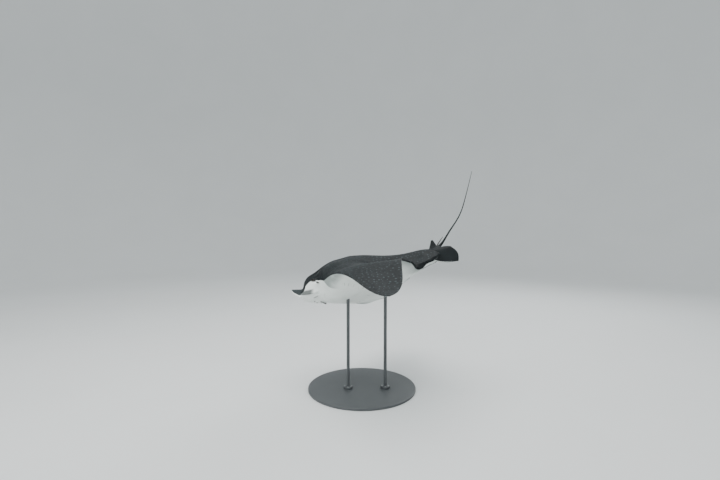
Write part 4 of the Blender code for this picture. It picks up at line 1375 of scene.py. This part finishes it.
class RAY_OT_eyes(bpy.types.Operator):
    """Build both eyes"""
    bl_idname = "ray.eyes"
    bl_label = "Eyes"

    def execute(self, context):
        finish = eye_material(context.scene.ray_eyes)
        for hand, side in ((1, "left"), (-1, "right")):
            made = eye_object(f"eyeball_{side}", hand, finish)
            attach(made, BODY)
            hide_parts(f"eye_{side}")
        return {"FINISHED"}


class RAY_OT_spine(bpy.types.Operator):
    """Build the tail spine with its barbs"""
    bl_idname = "ray.spine"
    bl_label = "Tail spine"

    def execute(self, context):
        finish = spine_material()
        blade = spine_object(finish)
        barbs = barb_object(finish)
        for made in (blade, barbs):
            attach(made, BODY)
        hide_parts("sting")
        return {"FINISHED"}


class RAY_OT_stand(bpy.types.Operator):
    """Build the base, the two rods and their screws"""
    bl_idname = "ray.stand"
    bl_label = "Stand"

    def execute(self, context):
        settings = context.scene.ray_stand
        coat = coat_material(settings)
        middle = sum(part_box("stand_base"), Vector()) / 2
        made = turned("stand_base_disc", base_profile(), middle, coat, 192)
        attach(made, BODY)
        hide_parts("stand_base")
        for node in STAND_RODS:
            middle = sum(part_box(node), Vector()) / 2
            made = turned(node + "_post", rod_profile(node), middle, coat, 64)
            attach(made, BODY)
            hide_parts(node)
        made = screws_object(settings.screw_count, screw_material())
        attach(made, BODY)
        return {"FINISHED"}


class RAY_OT_stage(bpy.types.Operator):
    """Build the floor, the lights and the camera"""
    bl_idname = "ray.stage"
    bl_label = "Studio"

    def execute(self, context):
        settings = context.scene.ray_stage
        floor_object(floor_material(settings))
        build_lights()
        build_camera(settings)
        return {"FINISHED"}


class RAY_PT_panel(bpy.types.Panel):
    """Buttons and settings in the sidebar"""
    bl_idname = "RAY_PT_panel"
    bl_label = "Spotted eagle ray"
    bl_space_type = "VIEW_3D"
    bl_region_type = "UI"
    bl_category = "Ray"

    def draw(self, context):
        layout = self.layout
        for group, operator in GROUPS.items():
            box = layout.box()
            settings = getattr(context.scene, group, None)
            if settings is not None:
                for name in settings.__annotations__:
                    box.prop(settings, name)
            box.operator(operator)


GROUPS = {"ray_skin": "ray.skin", "ray_eyes": "ray.eyes", "ray_spine": "ray.spine",
          "ray_stand": "ray.stand", "ray_stage": "ray.stage"}
SETTINGS = {"ray_skin": RaySkinSettings, "ray_eyes": RayEyeSettings,
            "ray_stand": RayStandSettings, "ray_stage": RayStageSettings}
CLASSES = (*SETTINGS.values(), RAY_OT_skin, RAY_OT_eyes, RAY_OT_spine, RAY_OT_stand,
           RAY_OT_stage, RAY_PT_panel)


def register():
    for made in CLASSES:
        bpy.utils.register_class(made)
    for name, group in SETTINGS.items():
        setattr(bpy.types.Scene, name, PointerProperty(type=group))


def unregister():
    for name in SETTINGS:
        delattr(bpy.types.Scene, name)
    for made in reversed(CLASSES):
        bpy.utils.unregister_class(made)


def main():
    """Build everything in order."""
    register()
    bpy.ops.ray.skin()
    bpy.ops.ray.eyes()
    bpy.ops.ray.spine()
    bpy.ops.ray.stand()
    bpy.ops.ray.stage()


if __name__ == "__main__":
    main()
